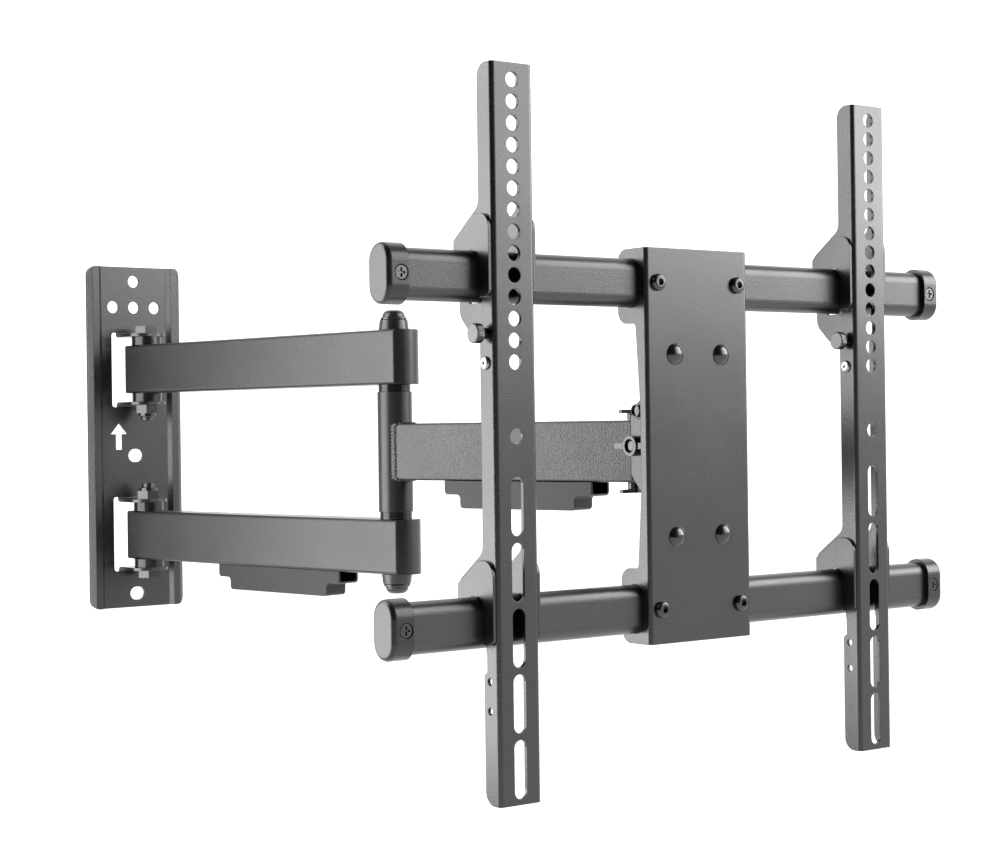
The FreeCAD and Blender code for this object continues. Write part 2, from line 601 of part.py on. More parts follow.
def cut(label, base, tool):
    thing = DOC.addObject("Part::Cut", label)
    thing.Base = base
    thing.Tool = tool
    return thing


def fuse(label, things):
    thing = DOC.addObject("Part::MultiFuse", label)
    thing.Shapes = things
    return thing


def copies(label, source, spots):
    """Group of equal solids, each at (spot) or (spot, turn, axis)."""
    links = []
    for spot in spots:
        link = DOC.addObject("App::Link", label + "_copy")
        link.LinkedObject = source
        place(link, *spot)
        links.append(link)
    group = DOC.addObject("Part::Compound", label)
    group.Links = links
    return keep(group, label)


def ring(label, inner, outer, height):
    """Template of a plain washer, bore and rim given as diameters."""
    body = new_body(label)
    sketch = new_sketch(body, "XY_Plane")
    draw_circle(sketch, 0, 0, outer)
    draw_circle(sketch, 0, 0, inner)
    pad(body, sketch, height)
    return body


def draw_hexagon(sketch, across):
    """Hexagon about the origin, given across its flats."""
    half = across / 2
    point = across / math.sqrt(3)
    corners = [(point, 0), (point / 2, half), (-point / 2, half)]
    corners += [(-point, 0), (-point / 2, -half), (point / 2, -half)]
    draw_outline(sketch, corners)


def make_ear():
    """Pivot ear bent out of the wall plate, for the arm whose middle is at height zero."""
    body = new_body("ear")
    inner = ear_gap / 2
    outer = inner + plate_sheet
    window_edge = outer + ear_bend + bend_relief
    sketch = new_sketch(body, "YZ_Plane", -ear_wide / 2)
    corners = [(0, window_edge), (0, inner, ear_bend + plate_sheet), (-ear_reach, inner)]
    corners += [(-ear_reach, outer), (-plate_sheet, outer, ear_bend), (-plate_sheet, window_edge)]
    draw_outline(sketch, corners)
    pad(body, sketch, ear_wide)
    round_edges(body, lambda edge: runs_along(edge, "z") and lies_at(edge, "y", -ear_reach), ear_round)
    hole = new_sketch(body, "XY_Plane", inner - OVERCUT)
    draw_circle(hole, 0, -pivot_reach, pivot_bolt + hole_gap * 2)
    pocket(body, hole, plate_sheet + OVERCUT * 2)
    return body, window_edge


def make_wall_plate():
    """Ribbed sheet with rounded corners, screw holes, arrow, windows and four ears."""
    ear, window_edge = make_ear()
    half = plate_wide / 2
    flat = panel_wide / 2
    rib_in = flat + rib_slope
    rib_out = rib_in + rib_flat
    back = [(-half, 0), (-rib_out, -rib_rise), (-rib_in, -rib_rise), (-flat, 0)]
    back += [(flat, 0), (rib_in, -rib_rise), (rib_out, -rib_rise), (half, 0)]
    front = [(x, y - plate_sheet) for x, y in reversed(back)]
    section = new_body("plate_section")
    sketch = new_sketch(section, "XY_Plane", -plate_tall / 2)
    draw_outline(sketch, back + front)
    pad(section, sketch, plate_tall)

    outline = new_body("plate_outline")
    depth = rib_rise + plate_sheet + OVERCUT * 2
    sketch = new_sketch(outline, "XZ_Plane", -OVERCUT)
    top = plate_tall / 2
    corners = [(-half, -top, plate_corner), (half, -top, plate_corner)]
    corners += [(half, top, plate_corner), (-half, top, plate_corner)]
    draw_outline(sketch, corners)
    pad(outline, sketch, depth)
    holes = new_sketch(outline, "XZ_Plane", -OVERCUT * 2)
    draw_circle(holes, 0, top_hole_up, wall_hole)
    for step in (-1, 0, 1):
        draw_circle(holes, row_hole_pitch * step, row_hole_up, wall_hole)
    slot_half = (level_slot_long - level_slot_tall) / 2
    for down in (middle_slot_down, bottom_slot_down):
        draw_slot(holes, (-slot_half, -down), (slot_half, -down), level_slot_tall / 2)
    head_base = arrow_tip_up - arrow_head_tall
    shaft = arrow_shaft_wide / 2
    arrow = [(-arrow_across, arrow_tip_up), (-arrow_across - arrow_head_wide / 2, head_base)]
    arrow += [(-arrow_across - shaft, head_base), (-arrow_across - shaft, arrow_tip_up - arrow_tall)]
    arrow += [(-arrow_across + shaft, arrow_tip_up - arrow_tall), (-arrow_across + shaft, head_base)]
    arrow += [(-arrow_across + arrow_head_wide / 2, head_base)]
    draw_outline(holes, arrow)
    pocket(outline, holes, depth + OVERCUT * 2)
    for level in (upper_level, lower_level):
        window = new_sketch(outline, "XZ_Plane", -OVERCUT * 2)
        side = window_wide / 2
        low = level - window_edge
        high = level + window_edge
        corners = [(-side, low, window_round), (side, low, window_round)]
        corners += [(side, high, window_round), (-side, high, window_round)]
        draw_outline(window, corners)
        pocket(outline, window, depth + OVERCUT * 2)

    sheet = DOC.addObject("Part::Common", "plate_sheet_metal")
    sheet.Base = section
    sheet.Tool = outline
    pieces = [sheet]
    for level in (upper_level, lower_level):
        for flip in (None, FLIP_ABOUT_Y):
            link = DOC.addObject("App::Link", "ear_copy")
            link.LinkedObject = ear
            if flip:
                place(link, (0, 0, level), flip[1], flip[0])
            else:
                place(link, (0, 0, level))
            pieces.append(link)
    keep(fuse("wall_plate", pieces), "wall_plate")


def make_wall_pivots():
    """Hexagon bolts, lock nuts and plastic bushes of the two wall pivots."""
    stack = ear_gap / 2 + plate_sheet
    bolt = new_body("pivot_bolt_pattern")
    sketch = new_sketch(bolt, "XY_Plane")
    draw_hexagon(sketch, hex_across)
    pad(bolt, sketch, hex_head_tall)
    shank = stack * 2 + hex_nut_tall + bolt_past_nut
    sketch = new_sketch(bolt, "XY_Plane", -shank)
    draw_circle(sketch, 0, 0, pivot_bolt)
    pad(bolt, sketch, shank)
    upright = (0, -pivot_reach, upper_level + stack)
    upended = (0, -pivot_reach, lower_level - stack)
    copies("wall_pivot_bolts", bolt, [(upright,), (upended, 180, (1, 0, 0))])

    nut = new_body("lock_nut_pattern")
    sketch = new_sketch(nut, "XY_Plane")
    draw_hexagon(sketch, hex_across)
    draw_circle(sketch, 0, 0, pivot_bolt + bolt_gap * 2)
    pad(nut, sketch, hex_nut_tall - lock_ring_tall)
    sketch = new_sketch(nut, "XY_Plane", hex_nut_tall - lock_ring_tall)
    draw_circle(sketch, 0, 0, hex_across * lock_ring_share)
    draw_circle(sketch, 0, 0, pivot_bolt + bolt_gap * 2)
    pad(nut, sketch, lock_ring_tall)
    under = (0, -pivot_reach, upper_level - stack)
    over = (0, -pivot_reach, lower_level + stack)
    copies("wall_pivot_nuts", nut, [(under, 180, (1, 0, 0)), (over,)])

    bush_tall = (ear_gap - arm_tall) / 2
    bush = ring("wall_bush_pattern", pivot_bolt + bolt_gap * 2, wall_bush_across, bush_tall)
    spots = []
    for level in (upper_level, lower_level):
        spots.append(((0, -pivot_reach, level + arm_tall / 2),))
        spots.append(((0, -pivot_reach, level - arm_tall / 2 - bush_tall),))
    copies("wall_pivot_bushes", bush, spots)


def draw_tube_section(sketch, wide, tall, wall, corner):
    """Rounded rectangular tube about the sketch's origin."""
    for inset in (0, wall):
        side = wide / 2 - inset
        top = tall / 2 - inset
        radius = corner - inset
        corners = [(-side, -top, radius), (side, -top, radius)]
        corners += [(side, top, radius), (-side, top, radius)]
        draw_outline(sketch, corners)


def make_wall_arms():
    """Two rectangular tubes, one above the other, closed by rounded end plugs."""
    nose_back = root(nose_radius * nose_radius - arm_wide * arm_wide / 4)
    for label, level in (("upper_wall_arm", upper_level), ("lower_wall_arm", lower_level)):
        body = new_body(label)
        sketch = new_sketch(body, "YZ_Plane", -nose_back)
        draw_tube_section(sketch, arm_wide, arm_tall, arm_wall, arm_corner)
        pad(body, sketch, arm_length + nose_back * 2)
        holes = new_sketch(body, "XY_Plane", -arm_tall / 2 - OVERCUT)
        for along in (0, arm_length):
            draw_circle(holes, along, 0, pivot_bolt + hole_gap * 2)
        pocket(body, holes, arm_tall + OVERCUT * 2)
        if label == "lower_wall_arm":
            cut_peg_holes(body, arm_tall, arm_length - arm_clip_near - arm_clip_long, arm_clip_long)
        place(body, (0, -pivot_reach, level), arm_turn)
        keep(body, label)

    bar = new_body("nose_bar")
    sketch = new_sketch(bar, "YZ_Plane", -nose_radius - OVERCUT)
    side = arm_wide / 2
    top = arm_tall / 2
    corners = [(-side, -top, arm_corner), (side, -top, arm_corner)]
    corners += [(side, top, arm_corner), (-side, top, arm_corner)]
    draw_outline(sketch, corners)
    pad(bar, sketch, nose_radius + OVERCUT - nose_back)
    nose = DOC.addObject("Part::Common", "nose")
    nose.Base = bar
    nose.Tool = rod("nose_round", nose_radius, arm_tall, (0, 0, -top))
    core = new_body("plug_core")
    sketch = new_sketch(core, "YZ_Plane", -nose_back)
    inner_side = side - arm_wall - plug_gap
    inner_top = top - arm_wall - plug_gap
    inner_round = arm_corner - arm_wall
    corners = [(-inner_side, -inner_top, inner_round), (inner_side, -inner_top, inner_round)]
    corners += [(inner_side, inner_top, inner_round), (-inner_side, inner_top, inner_round)]
    draw_outline(sketch, corners)
    pad(core, sketch, nose_back + plug_depth)
    solid = fuse("plug_solid", [nose, core])
    bore = rod("plug_bore", pivot_bolt / 2 + bolt_gap, arm_tall, (0, 0, -top))
    plug = cut("plug_pattern", solid, bore)
    half_turn = arm_turn + 180
    wall_spots = []
    elbow_spots = []
    for level in (upper_level, lower_level):
        wall_spots.append(((0, -pivot_reach, level), arm_turn))
        elbow_spots.append(((elbow_x, elbow_y, level), half_turn))
    copies("wall_end_plugs", plug, wall_spots)
    copies("elbow_end_plugs", plug, elbow_spots)


def make_elbow():
    """Through bolt with domed ends, bright washers, collars, thrust washers, bushes and pipe."""
    stack = arm_spread + arm_tall / 2
    shank = (stack + collar_tall + washer_tall) * 2
    dome = dome_across / 2
    crown = dome_tall - head_rim
    shaft = pivot_bolt / 2
    inside = dome_tall - dome_nut_floor
    bolt = new_body("elbow_bolt")
    head_up = shank / 2
    corners = [(0, -head_up - inside + bolt_gap), (shaft, -head_up - inside + bolt_gap)]
    corners += [(shaft, head_up), (dome, head_up), (dome, head_up + dome_tall, crown)]
    corners += [(0, head_up + dome_tall)]
    turn_up(bolt, corners)
    keep(place(bolt, ELBOW), "elbow_bolt")

    nut = new_body("elbow_dome_nut")
    bore = shaft + bolt_gap
    corners = [(bore, 0), (dome, 0), (dome, dome_tall, crown), (0, dome_tall), (0, inside), (bore, inside)]
    turn_up(nut, corners)
    place(nut, (elbow_x, elbow_y, arms_level - head_up), 180, (1, 0, 0))
    keep(nut, "elbow_dome_nut")

    washer = ring("elbow_washer_pattern", pivot_bolt + bolt_gap * 2, washer_across, washer_tall)
    round_edges(washer, lambda edge: lies_on_rim(edge, washer_across), washer_round)
    up = arms_level + stack + collar_tall
    down = arms_level - stack - collar_tall - washer_tall
    copies("elbow_washers", washer, [((elbow_x, elbow_y, up),), ((elbow_x, elbow_y, down),)])

    collar = new_body("collar_pattern")
    corners = [(bore, 0), (collar_base / 2, 0), (collar_top / 2, collar_tall), (bore, collar_tall)]
    turn_up(collar, corners)
    up = (elbow_x, elbow_y, arms_level + stack)
    down = (elbow_x, elbow_y, arms_level - stack)
    copies("elbow_collars", collar, [(up,), (down, 180, (1, 0, 0))])

    half_gap = arm_gap / 2
    pipe_half = half_gap - ring_tall * 2
    thrust = ring("thrust_pattern", pivot_bolt + bolt_gap * 2, ring_across, ring_tall)
    up = (elbow_x, elbow_y, arms_level + half_gap - ring_tall)
    down = (elbow_x, elbow_y, arms_level - half_gap)
    copies("elbow_thrust_washers", thrust, [(up,), (down,)])

    bush = new_body("elbow_bush_pattern")
    sleeve = pipe_across / 2 - pipe_wall - bolt_gap
    corners = [(bore, -sleeve_deep), (sleeve, -sleeve_deep), (sleeve, 0), (ring_across / 2, 0)]
    corners += [(ring_across / 2, ring_tall), (bore, ring_tall)]
    turn_up(bush, corners)
    up = (elbow_x, elbow_y, arms_level + pipe_half)
    down = (elbow_x, elbow_y, arms_level - pipe_half)
    copies("elbow_bushes", bush, [(up,), (down, 180, (1, 0, 0))])

    pipe = ring("elbow_pipe", pipe_across - pipe_wall * 2, pipe_across, pipe_half * 2)
    keep(place(pipe, (elbow_x, elbow_y, arms_level - pipe_half)), "elbow_pipe")


def make_forearm():
    """Rectangular tube coped to the elbow pipe and open at the swivel end."""
    body = new_body("forearm_bar")
    sketch = new_sketch(body, "YZ_Plane")
    draw_tube_section(sketch, forearm_wide, forearm_tall, forearm_wall, forearm_corner)
    pad(body, sketch, forearm_length + lip_past_swivel)
    hole = new_sketch(body, "XY_Plane", -forearm_tall / 2 - OVERCUT)
    draw_circle(hole, forearm_length, 0, stud_across + hole_gap * 2)
    pocket(body, hole, forearm_tall + OVERCUT * 2)
    mouth = new_sketch(body, "XZ_Plane", -forearm_wide / 2 - OVERCUT)
    side_end = forearm_length + side_past_swivel
    lip_end = forearm_length + lip_past_swivel + OVERCUT
    lip = forearm_tall / 2 - forearm_wall
    draw_outline(mouth, [(side_end, -lip), (lip_end, -lip), (lip_end, lip), (side_end, lip)])
    pocket(body, mouth, forearm_wide + OVERCUT * 2)
    cut_peg_holes(body, forearm_tall, fore_clip_near, fore_clip_long)
    cope = rod("cope", pipe_across / 2 + bolt_gap, forearm_tall, (0, 0, -forearm_tall / 2))
    tube = cut("forearm_tube", body, cope)
    keep(place(tube, ELBOW, forearm_turn), "forearm_tube")


def cut_peg_holes(body, tall, start, length):
    """Holes for a cable clip's snap pegs in the tube's bottom wall."""
    holes = new_sketch(body, "XY_Plane", -tall / 2 - OVERCUT)
    for along in (start + strap_inset, start + length - strap_inset):
        draw_circle(holes, along, 0, peg_across + hole_gap * 2)
    pocket(body, holes, peg_tall + OVERCUT)


def make_clip(label, start, length, wide, top, spot, turn):
    """Open plastic channel under an arm with stepped ends, straps and snap pegs."""
    body = new_body(label)
    step_in = start + clip_step_long
    step_out = start + length - clip_step_long
    ledge = top - clip_step_down
    floor = top - clip_tall
    side = new_sketch(body, "XZ_Plane", -wide / 2)
    corners = [(start, top), (start, ledge, clip_round), (step_in, ledge, clip_round)]
    corners += [(step_in, floor, clip_round), (step_out, floor, clip_round)]
    corners += [(step_out, ledge, clip_round), (start + length, ledge, clip_round)]
    corners += [(start + length, top)]
    draw_outline(side, corners)
    pad(body, side, wide)
    inner = wide / 2 - clip_wall
    shallow = (start - OVERCUT, length + OVERCUT * 2, ledge + clip_wall)
    deep = (step_in + clip_wall, length - (clip_step_long + clip_wall) * 2, floor + clip_wall)
    for near, run, bottom in (shallow, deep):
        hollow = new_sketch(body, "YZ_Plane", near)
        corners = [(-inner, bottom, clip_wall), (inner, bottom, clip_wall)]
        corners += [(inner, top + OVERCUT), (-inner, top + OVERCUT)]
        draw_outline(hollow, corners)
        pocket(body, hollow, run)
    for along in (start + strap_inset, start + length - strap_inset):
        strap = new_sketch(body, "XY_Plane", top - clip_wall)
        near = along - strap_long / 2
        far = along + strap_long / 2
        reach = wide / 2 - clip_wall / 2
        draw_outline(strap, [(near, -reach), (far, -reach), (far, reach), (near, reach)])
        pad(body, strap, clip_wall)
        peg = new_sketch(body, "XY_Plane", top)
        draw_circle(peg, along, 0, peg_across)
        pad(body, peg, peg_tall)
    keep(place(body, spot, turn), label)


def lock_bolt_at(angle):
    """Where the lock bolt stands about the tilt axis once the screen has tilted by an angle."""
    y = -(lock_front * cosine(angle)) - lock_up * sine(angle)
    z = lock_up * cosine(angle) - lock_front * sine(angle)
    return y, z


def make_head():
    """Swivel barrel with its neck and yoke, the swivel stud and the tilt bolt."""
    inside = forearm_tall - forearm_wall * 2
    barrel_half = inside / 2 - barrel_gap
    web_front = yoke_behind - yoke_sheet
    neck_long = tilt_reach - yoke_behind
    barrel = new_body("barrel_solid")
    sketch = new_sketch(barrel, "XY_Plane", -barrel_half)
    draw_circle(sketch, 0, 0, barrel_across)
    pad(barrel, sketch, barrel_half * 2)
    neck = new_sketch(barrel, "XY_Plane", -neck_tall / 2)
    side = neck_thick / 2
    reach = barrel_across / 2 - OVERCUT
    draw_outline(neck, [(-side, -neck_long), (side, -neck_long), (side, -reach), (-side, -reach)])
    pad(barrel, neck, neck_tall)
    bore = new_sketch(barrel, "XY_Plane", -barrel_half - OVERCUT)
    draw_circle(bore, 0, 0, stud_across + bolt_gap * 2)
    pocket(barrel, bore, (barrel_half + OVERCUT) * 2)
    keep(place(barrel, SWIVEL), "swivel_barrel")

    yoke = new_body("tilt_yoke")
    profile = new_sketch(yoke, "YZ_Plane", -yoke_half)
    corners = [(yoke_behind, -yoke_down), (-yoke_front_low, -yoke_down, 6)]
    corners += [(-yoke_front_high, yoke_down, 6), (-yoke_front_high, yoke_up, 6)]
    corners += [(yoke_behind - yoke_slant, yoke_up, 6), (yoke_behind, yoke_down)]
    draw_outline(profile, corners)
    pad(yoke, profile, yoke_half * 2)
    hollow = new_sketch(yoke, "XY_Plane", -yoke_down - OVERCUT)
    side = yoke_half - yoke_sheet
    front = -yoke_front_high - OVERCUT
    draw_outline(hollow, [(-side, front), (side, front), (side, web_front), (-side, web_front)])
    pocket(yoke, hollow, yoke_up + yoke_down + OVERCUT * 2)
    round_edges(yoke, lambda edge: runs_along(edge, "z") and lies_at(edge, "y", yoke_behind), yoke_bend)
    hole = new_sketch(yoke, "YZ_Plane", -yoke_half - OVERCUT)
    draw_circle(hole, 0, 0, tilt_bolt_across + hole_gap * 2)
    pocket(yoke, hole, (yoke_half + OVERCUT) * 2)
    slot = new_sketch(yoke, "YZ_Plane", -yoke_half - OVERCUT)
    near_end = lock_bolt_at(-tilt_back)
    far_end = lock_bolt_at(tilt_down)
    draw_slot(slot, near_end, far_end, tilt_bolt_across / 2 + slot_room)
    pocket(yoke, slot, yoke_sheet + OVERCUT * 2)
    keep(place(yoke, TILT), "tilt_yoke")

    outer = yoke_half + friction_thick + bracket_sheet
    washer = ring("friction_pattern", tilt_bolt_across + bolt_gap * 2, friction_across, friction_thick)
    left = (swivel_x - yoke_half - friction_thick, TILT[1], TILT[2])
    right = (swivel_x + yoke_half, TILT[1], TILT[2])
    copies("tilt_friction_washers", washer, [(left, 90, (0, 1, 0)), (right, 90, (0, 1, 0))])

    bolt = new_body("tilt_bolt")
    shaft = tilt_bolt_across / 2
    knob_face = outer + knob_gap + tilt_hub_long
    crown = tilt_head_tall - head_rim
    corners = [(0, -knob_face + tilt_recess_deep / 2), (shaft, -knob_face + tilt_recess_deep / 2)]
    corners += [(shaft, outer), (tilt_head_across / 2, outer)]
    corners += [(tilt_head_across / 2, outer + tilt_head_tall, crown), (0, outer + tilt_head_tall)]
    turn_up(bolt, corners)
    keep(place(bolt, TILT, 90, (0, 1, 0)), "tilt_bolt")

    stud = new_body("swivel_stud")
    half = forearm_tall / 2 + knob_gap + swivel_hub_long - OVERCUT
    sketch = new_sketch(stud, "XY_Plane", -half)
    draw_circle(sketch, 0, 0, stud_across)
    pad(stud, sketch, half * 2)
    keep(place(stud, SWIVEL), "swivel_stud")

    lock = new_body("tilt_lock_bolt")
    lock_face = outer + knob_gap + lock_hub_long + lock_ring_long
    head_in = yoke_half - yoke_sheet - lock_head_tall - bolt_gap
    head = lock_head_across / 2
    corners = [(0, head_in), (head, head_in), (head, head_in + lock_head_tall)]
    corners += [(shaft, head_in + lock_head_tall), (shaft, lock_face - lock_recess_deep / 2)]
    corners += [(0, lock_face - lock_recess_deep / 2)]
    turn_up(lock, corners)
    lock_spot = (swivel_x, TILT[1] - lock_front, TILT[2] + lock_up)
    keep(place(lock, lock_spot, -90, (0, 1, 0)), "tilt_lock_bolt")


def make_tilt_bracket():
    """Bracket behind the centre plate: a flat web and two cheeks beside the yoke."""
    body = new_body("tilt_bracket")
    outer = yoke_half + friction_thick + bracket_sheet
    inner = outer - bracket_sheet
    web_back = bracket_sheet - centre_back
    profile = new_sketch(body, "YZ_Plane", -outer)
    corners = [(-centre_back, -bracket_slant_up), (-bracket_slant_rear, -bracket_slant_up, 6)]
    corners += [(bracket_rear, -bracket_straight, 4), (bracket_rear, bracket_straight, 4)]
    corners += [(-bracket_slant_rear, bracket_slant_up, 6), (-centre_back, bracket_slant_up)]
    draw_outline(profile, corners)
    pad(body, profile, outer * 2)
    hollow = new_sketch(body, "XY_Plane", -bracket_slant_up - OVERCUT)
    rear = bracket_rear + OVERCUT
    draw_outline(hollow, [(-inner, web_back), (inner, web_back), (inner, rear), (-inner, rear)])
    pocket(body, hollow, (bracket_slant_up + OVERCUT) * 2)
    web = new_sketch(body, "XZ_Plane", -web_back)
    top = bracket_tall / 2
    corners = [(-outer, -top, 6), (outer, -top, 6), (outer, top, 6), (-outer, top, 6)]
    draw_outline(web, corners)
    pad(body, web, bracket_sheet)
    bolts = new_sketch(body, "XZ_Plane", -web_back - OVERCUT)
    for x, z in carriage_spots():
        draw_circle(bolts, x, z, carriage_bolt + hole_gap * 2)
    pocket(body, bolts, bracket_sheet + OVERCUT * 2)
    pivots = new_sketch(body, "YZ_Plane", -outer - OVERCUT)
    draw_circle(pivots, 0, 0, tilt_bolt_across + bolt_gap * 2)
    pocket(body, pivots, (outer + OVERCUT) * 2)
    lock = new_sketch(body, "YZ_Plane", -outer - OVERCUT)
    draw_circle(lock, -lock_front, lock_up, tilt_bolt_across + hole_gap * 2)
    pocket(body, lock, bracket_sheet + OVERCUT * 2)
    keep(place(body, TILT), "tilt_bracket")


def carriage_spots():
    """The four carriage bolts about the tilt axis, as (x, z)."""
    spots = []
    for side in (-0.5, 0.5):
        for end in (-0.5, 0.5):
            spots.append((carriage_across * side, carriage_up * end))
    return spots


def tube_screw_spots():
    """The four tube screws about the tilt axis, as (x, z)."""
    spots = []
    for side in (-0.5, 0.5):
        for end in (-0.5, 0.5):
            spots.append((tube_screw_across * side, tube_spread * end))
    return spots


def from_tilt(x, y, z):
    """A point given from the tilt axis, in the whole mount's frame."""
    return (swivel_x + x, TILT[1] + y, TILT[2] + z)


def make_centre_plate():
    """Folded plate with shallow side flanges and four ears that hold the tubes."""
    body = new_body("centre_plate")
    half = centre_wide / 2
    front = -centre_back - centre_sheet
    flange = front + centre_flange
    waist = front + centre_waist
    ear = front + centre_ear_deep
    top = centre_tall / 2
    ear_foot = top - centre_ear_tall
    profile = new_sketch(body, "YZ_Plane", -half)
    corners = [(front, -top), (ear, -top, centre_ear_round), (ear, -ear_foot, centre_ear_round)]
    waist_half = centre_waist_tall / 2
    corners += [(flange, -ear_foot, 3), (waist, -waist_half, centre_waist_round)]
    corners += [(waist, waist_half, centre_waist_round), (flange, ear_foot, 3)]
    corners += [(ear, ear_foot, centre_ear_round), (ear, top, centre_ear_round), (front, top)]
    draw_outline(profile, corners)
    pad(body, profile, centre_wide)
    hollow = new_sketch(body, "XY_Plane", -top - OVERCUT)
    side = half - centre_sheet
    rear = ear + OVERCUT
    draw_outline(hollow, [(-side, -centre_back), (side, -centre_back), (side, rear), (-side, rear)])
    pocket(body, hollow, (top + OVERCUT) * 2)
    round_edges(body, lambda edge: runs_along(edge, "z") and lies_at(edge, "y", front), centre_bend)
    for level in (tube_spread / 2, -tube_spread / 2):
        slot = new_sketch(body, "YZ_Plane", -half - OVERCUT)
        run = (tube_tall - tube_deep) / 2
        ends = ((tube_middle, level - run), (tube_middle, level + run))
        draw_slot(slot, *ends, tube_deep / 2 + tube_gap)
        pocket(body, slot, (half + OVERCUT) * 2)
    bolts = new_sketch(body, "XZ_Plane", centre_back - OVERCUT)
    for x, z in carriage_spots():
        draw_circle(bolts, x, z, carriage_bolt + hole_gap * 2)
    for x, z in tube_screw_spots():
        draw_circle(bolts, x, z, tube_screw + hole_gap * 2)
    pocket(body, bolts, centre_sheet + OVERCUT * 2)
    keep(place(body, TILT), "centre_plate")


def make_plate_fasteners():
    """Carriage bolts with nuts through the bracket, button screws into the tubes."""
    toward_front = (90, (1, 0, 0))
    toward_wall = (-90, (1, 0, 0))
    front = -centre_back - centre_sheet
    web_back = bracket_sheet - centre_back
    bolt = new_body("carriage_pattern")
    grip = centre_sheet + bracket_sheet + small_nut_tall
    shaft = carriage_bolt / 2
    head = carriage_head / 2
    end = grip + carriage_past
    corners = [(0, -end), (shaft, -end), (shaft, 0), (head, 0)]
    corners += dome_over(head, head_rim, carriage_dome)
    turn_up(bolt, corners)
    spots = [(from_tilt(x, front, z), *toward_front) for x, z in carriage_spots()]
    copies("carriage_bolts", bolt, spots)
    nut = new_body("small_nut_pattern")
    sketch = new_sketch(nut, "XY_Plane")
    draw_hexagon(sketch, small_nut_across)
    draw_circle(sketch, 0, 0, carriage_bolt + bolt_gap * 2)
    pad(nut, sketch, small_nut_tall)
    spots = [(from_tilt(x, web_back, z), *toward_wall) for x, z in carriage_spots()]
    copies("carriage_nuts", nut, spots)
    screw = new_body("tube_screw_pattern")
    shaft = tube_screw / 2
    head = tube_screw_head / 2
    corners = [(0, -tube_screw_long), (shaft, -tube_screw_long), (shaft, 0), (head, 0)]
    corners += [(head, tube_screw_dome, tube_screw_dome - tube_screw_rim), (0, tube_screw_dome)]
    turn_up(screw, corners)
    socket = new_sketch(screw, "XY_Plane", tube_screw_dome - socket_deep)
    draw_hexagon(socket, socket_across)
    pocket(screw, socket, socket_deep + OVERCUT)
    spots = [(from_tilt(x, front, z), *toward_front) for x, z in tube_screw_spots()]
    copies("tube_screws", screw, spots)


def draw_obround(sketch, tall, deep):
    """Upright obround about the sketch's origin, deep along its first axis."""
    run = (tall - deep) / 2
    draw_slot(sketch, (0, -run), (0, run), deep / 2)


def make_cross_tubes():
    """Two obround tubes, their end caps and the caps' countersunk screws."""
    tube_half = tube_reach - cap_floor
    cap_screw_x = tube_reach - cap_screw_in
    for label, level in (("upper_tube", tube_spread / 2), ("lower_tube", -tube_spread / 2)):
        body = new_body(label)
        section = new_sketch(body, "YZ_Plane", -tube_half)
        draw_obround(section, tube_tall, tube_deep)
        draw_obround(section, tube_tall - tube_wall * 2, tube_deep - tube_wall * 2)
        pad(body, section, tube_half * 2)
        holes = new_sketch(body, "XZ_Plane", tube_deep / 2 - tube_wall - OVERCUT)
        for side in (-0.5, 0.5):
            draw_circle(holes, tube_screw_across * side, 0, tube_screw + bolt_gap * 2)
        for side in (-1, 1):
            draw_circle(holes, cap_screw_x * side, 0, cap_screw + bolt_gap * 2)
        pocket(body, holes, tube_wall + OVERCUT * 2)
        keep(place(body, from_tilt(0, tube_middle, level)), label)

    cap = new_body("cap_pattern")
    section = new_sketch(cap, "YZ_Plane", -tube_reach)
    draw_obround(section, cap_tall, cap_deep)
    pad(cap, section, cap_long)
    round_edges(cap, lambda edge: lies_at(edge, "x", -tube_reach), cap_round)
    cup = new_sketch(cap, "YZ_Plane", -tube_half)
    draw_obround(cup, tube_tall + bolt_gap * 2, tube_deep + bolt_gap * 2)
    pocket(cap, cup, cap_long)
    hole = new_sketch(cap, "XZ_Plane")
    draw_circle(hole, -cap_screw_x, 0, cap_screw_head + cap_screw_room * 2)
    pocket(cap, hole, cap_deep)
    cap_spots = []
    screw_spots = []
    for level in (tube_spread / 2, -tube_spread / 2):
        cap_spots.append((from_tilt(0, tube_middle, level),))
        cap_spots.append((from_tilt(0, tube_middle, level), FLIP_ABOUT_Y[1], FLIP_ABOUT_Y[0]))
        for side in (-1, 1):
            spot = from_tilt(cap_screw_x * side, tube_middle - cap_deep / 2, level)
            screw_spots.append((spot, 90, (1, 0, 0)))
    copies("tube_end_caps", cap, cap_spots)

    screw = new_body("cap_screw_pattern")
    head = cap_screw_head / 2
    shaft = cap_screw / 2
    seat = (cap_deep - tube_deep) / 2
    corners = [(0, -cap_screw_long), (shaft, -cap_screw_long), (shaft, -seat), (head, -seat)]
    corners += [(head, -cap_screw_sunk), (0, -cap_screw_sunk)]
    turn_up(screw, corners)
    for wide, long in ((cross_wide, cross_long), (cross_long, cross_wide)):
        bar = new_sketch(screw, "XY_Plane", -cap_screw_sunk - cross_deep)
        corners = [(-wide / 2, -long / 2), (wide / 2, -long / 2)]
        corners += [(wide / 2, long / 2), (-wide / 2, long / 2)]
        draw_outline(bar, corners)
        pocket(screw, bar, cross_deep + OVERCUT)
    copies("cap_screws", screw, screw_spots)


def hook_mouth(level):
    """Corners of the open notch round a tube, from the rear foot to the front foot."""
    reach = tube_deep / 2 + hook_gap
    roof = level + tube_tall / 2 + hook_gap
    rear = tube_middle + reach
    front = tube_middle - reach
    return rear, front, roof


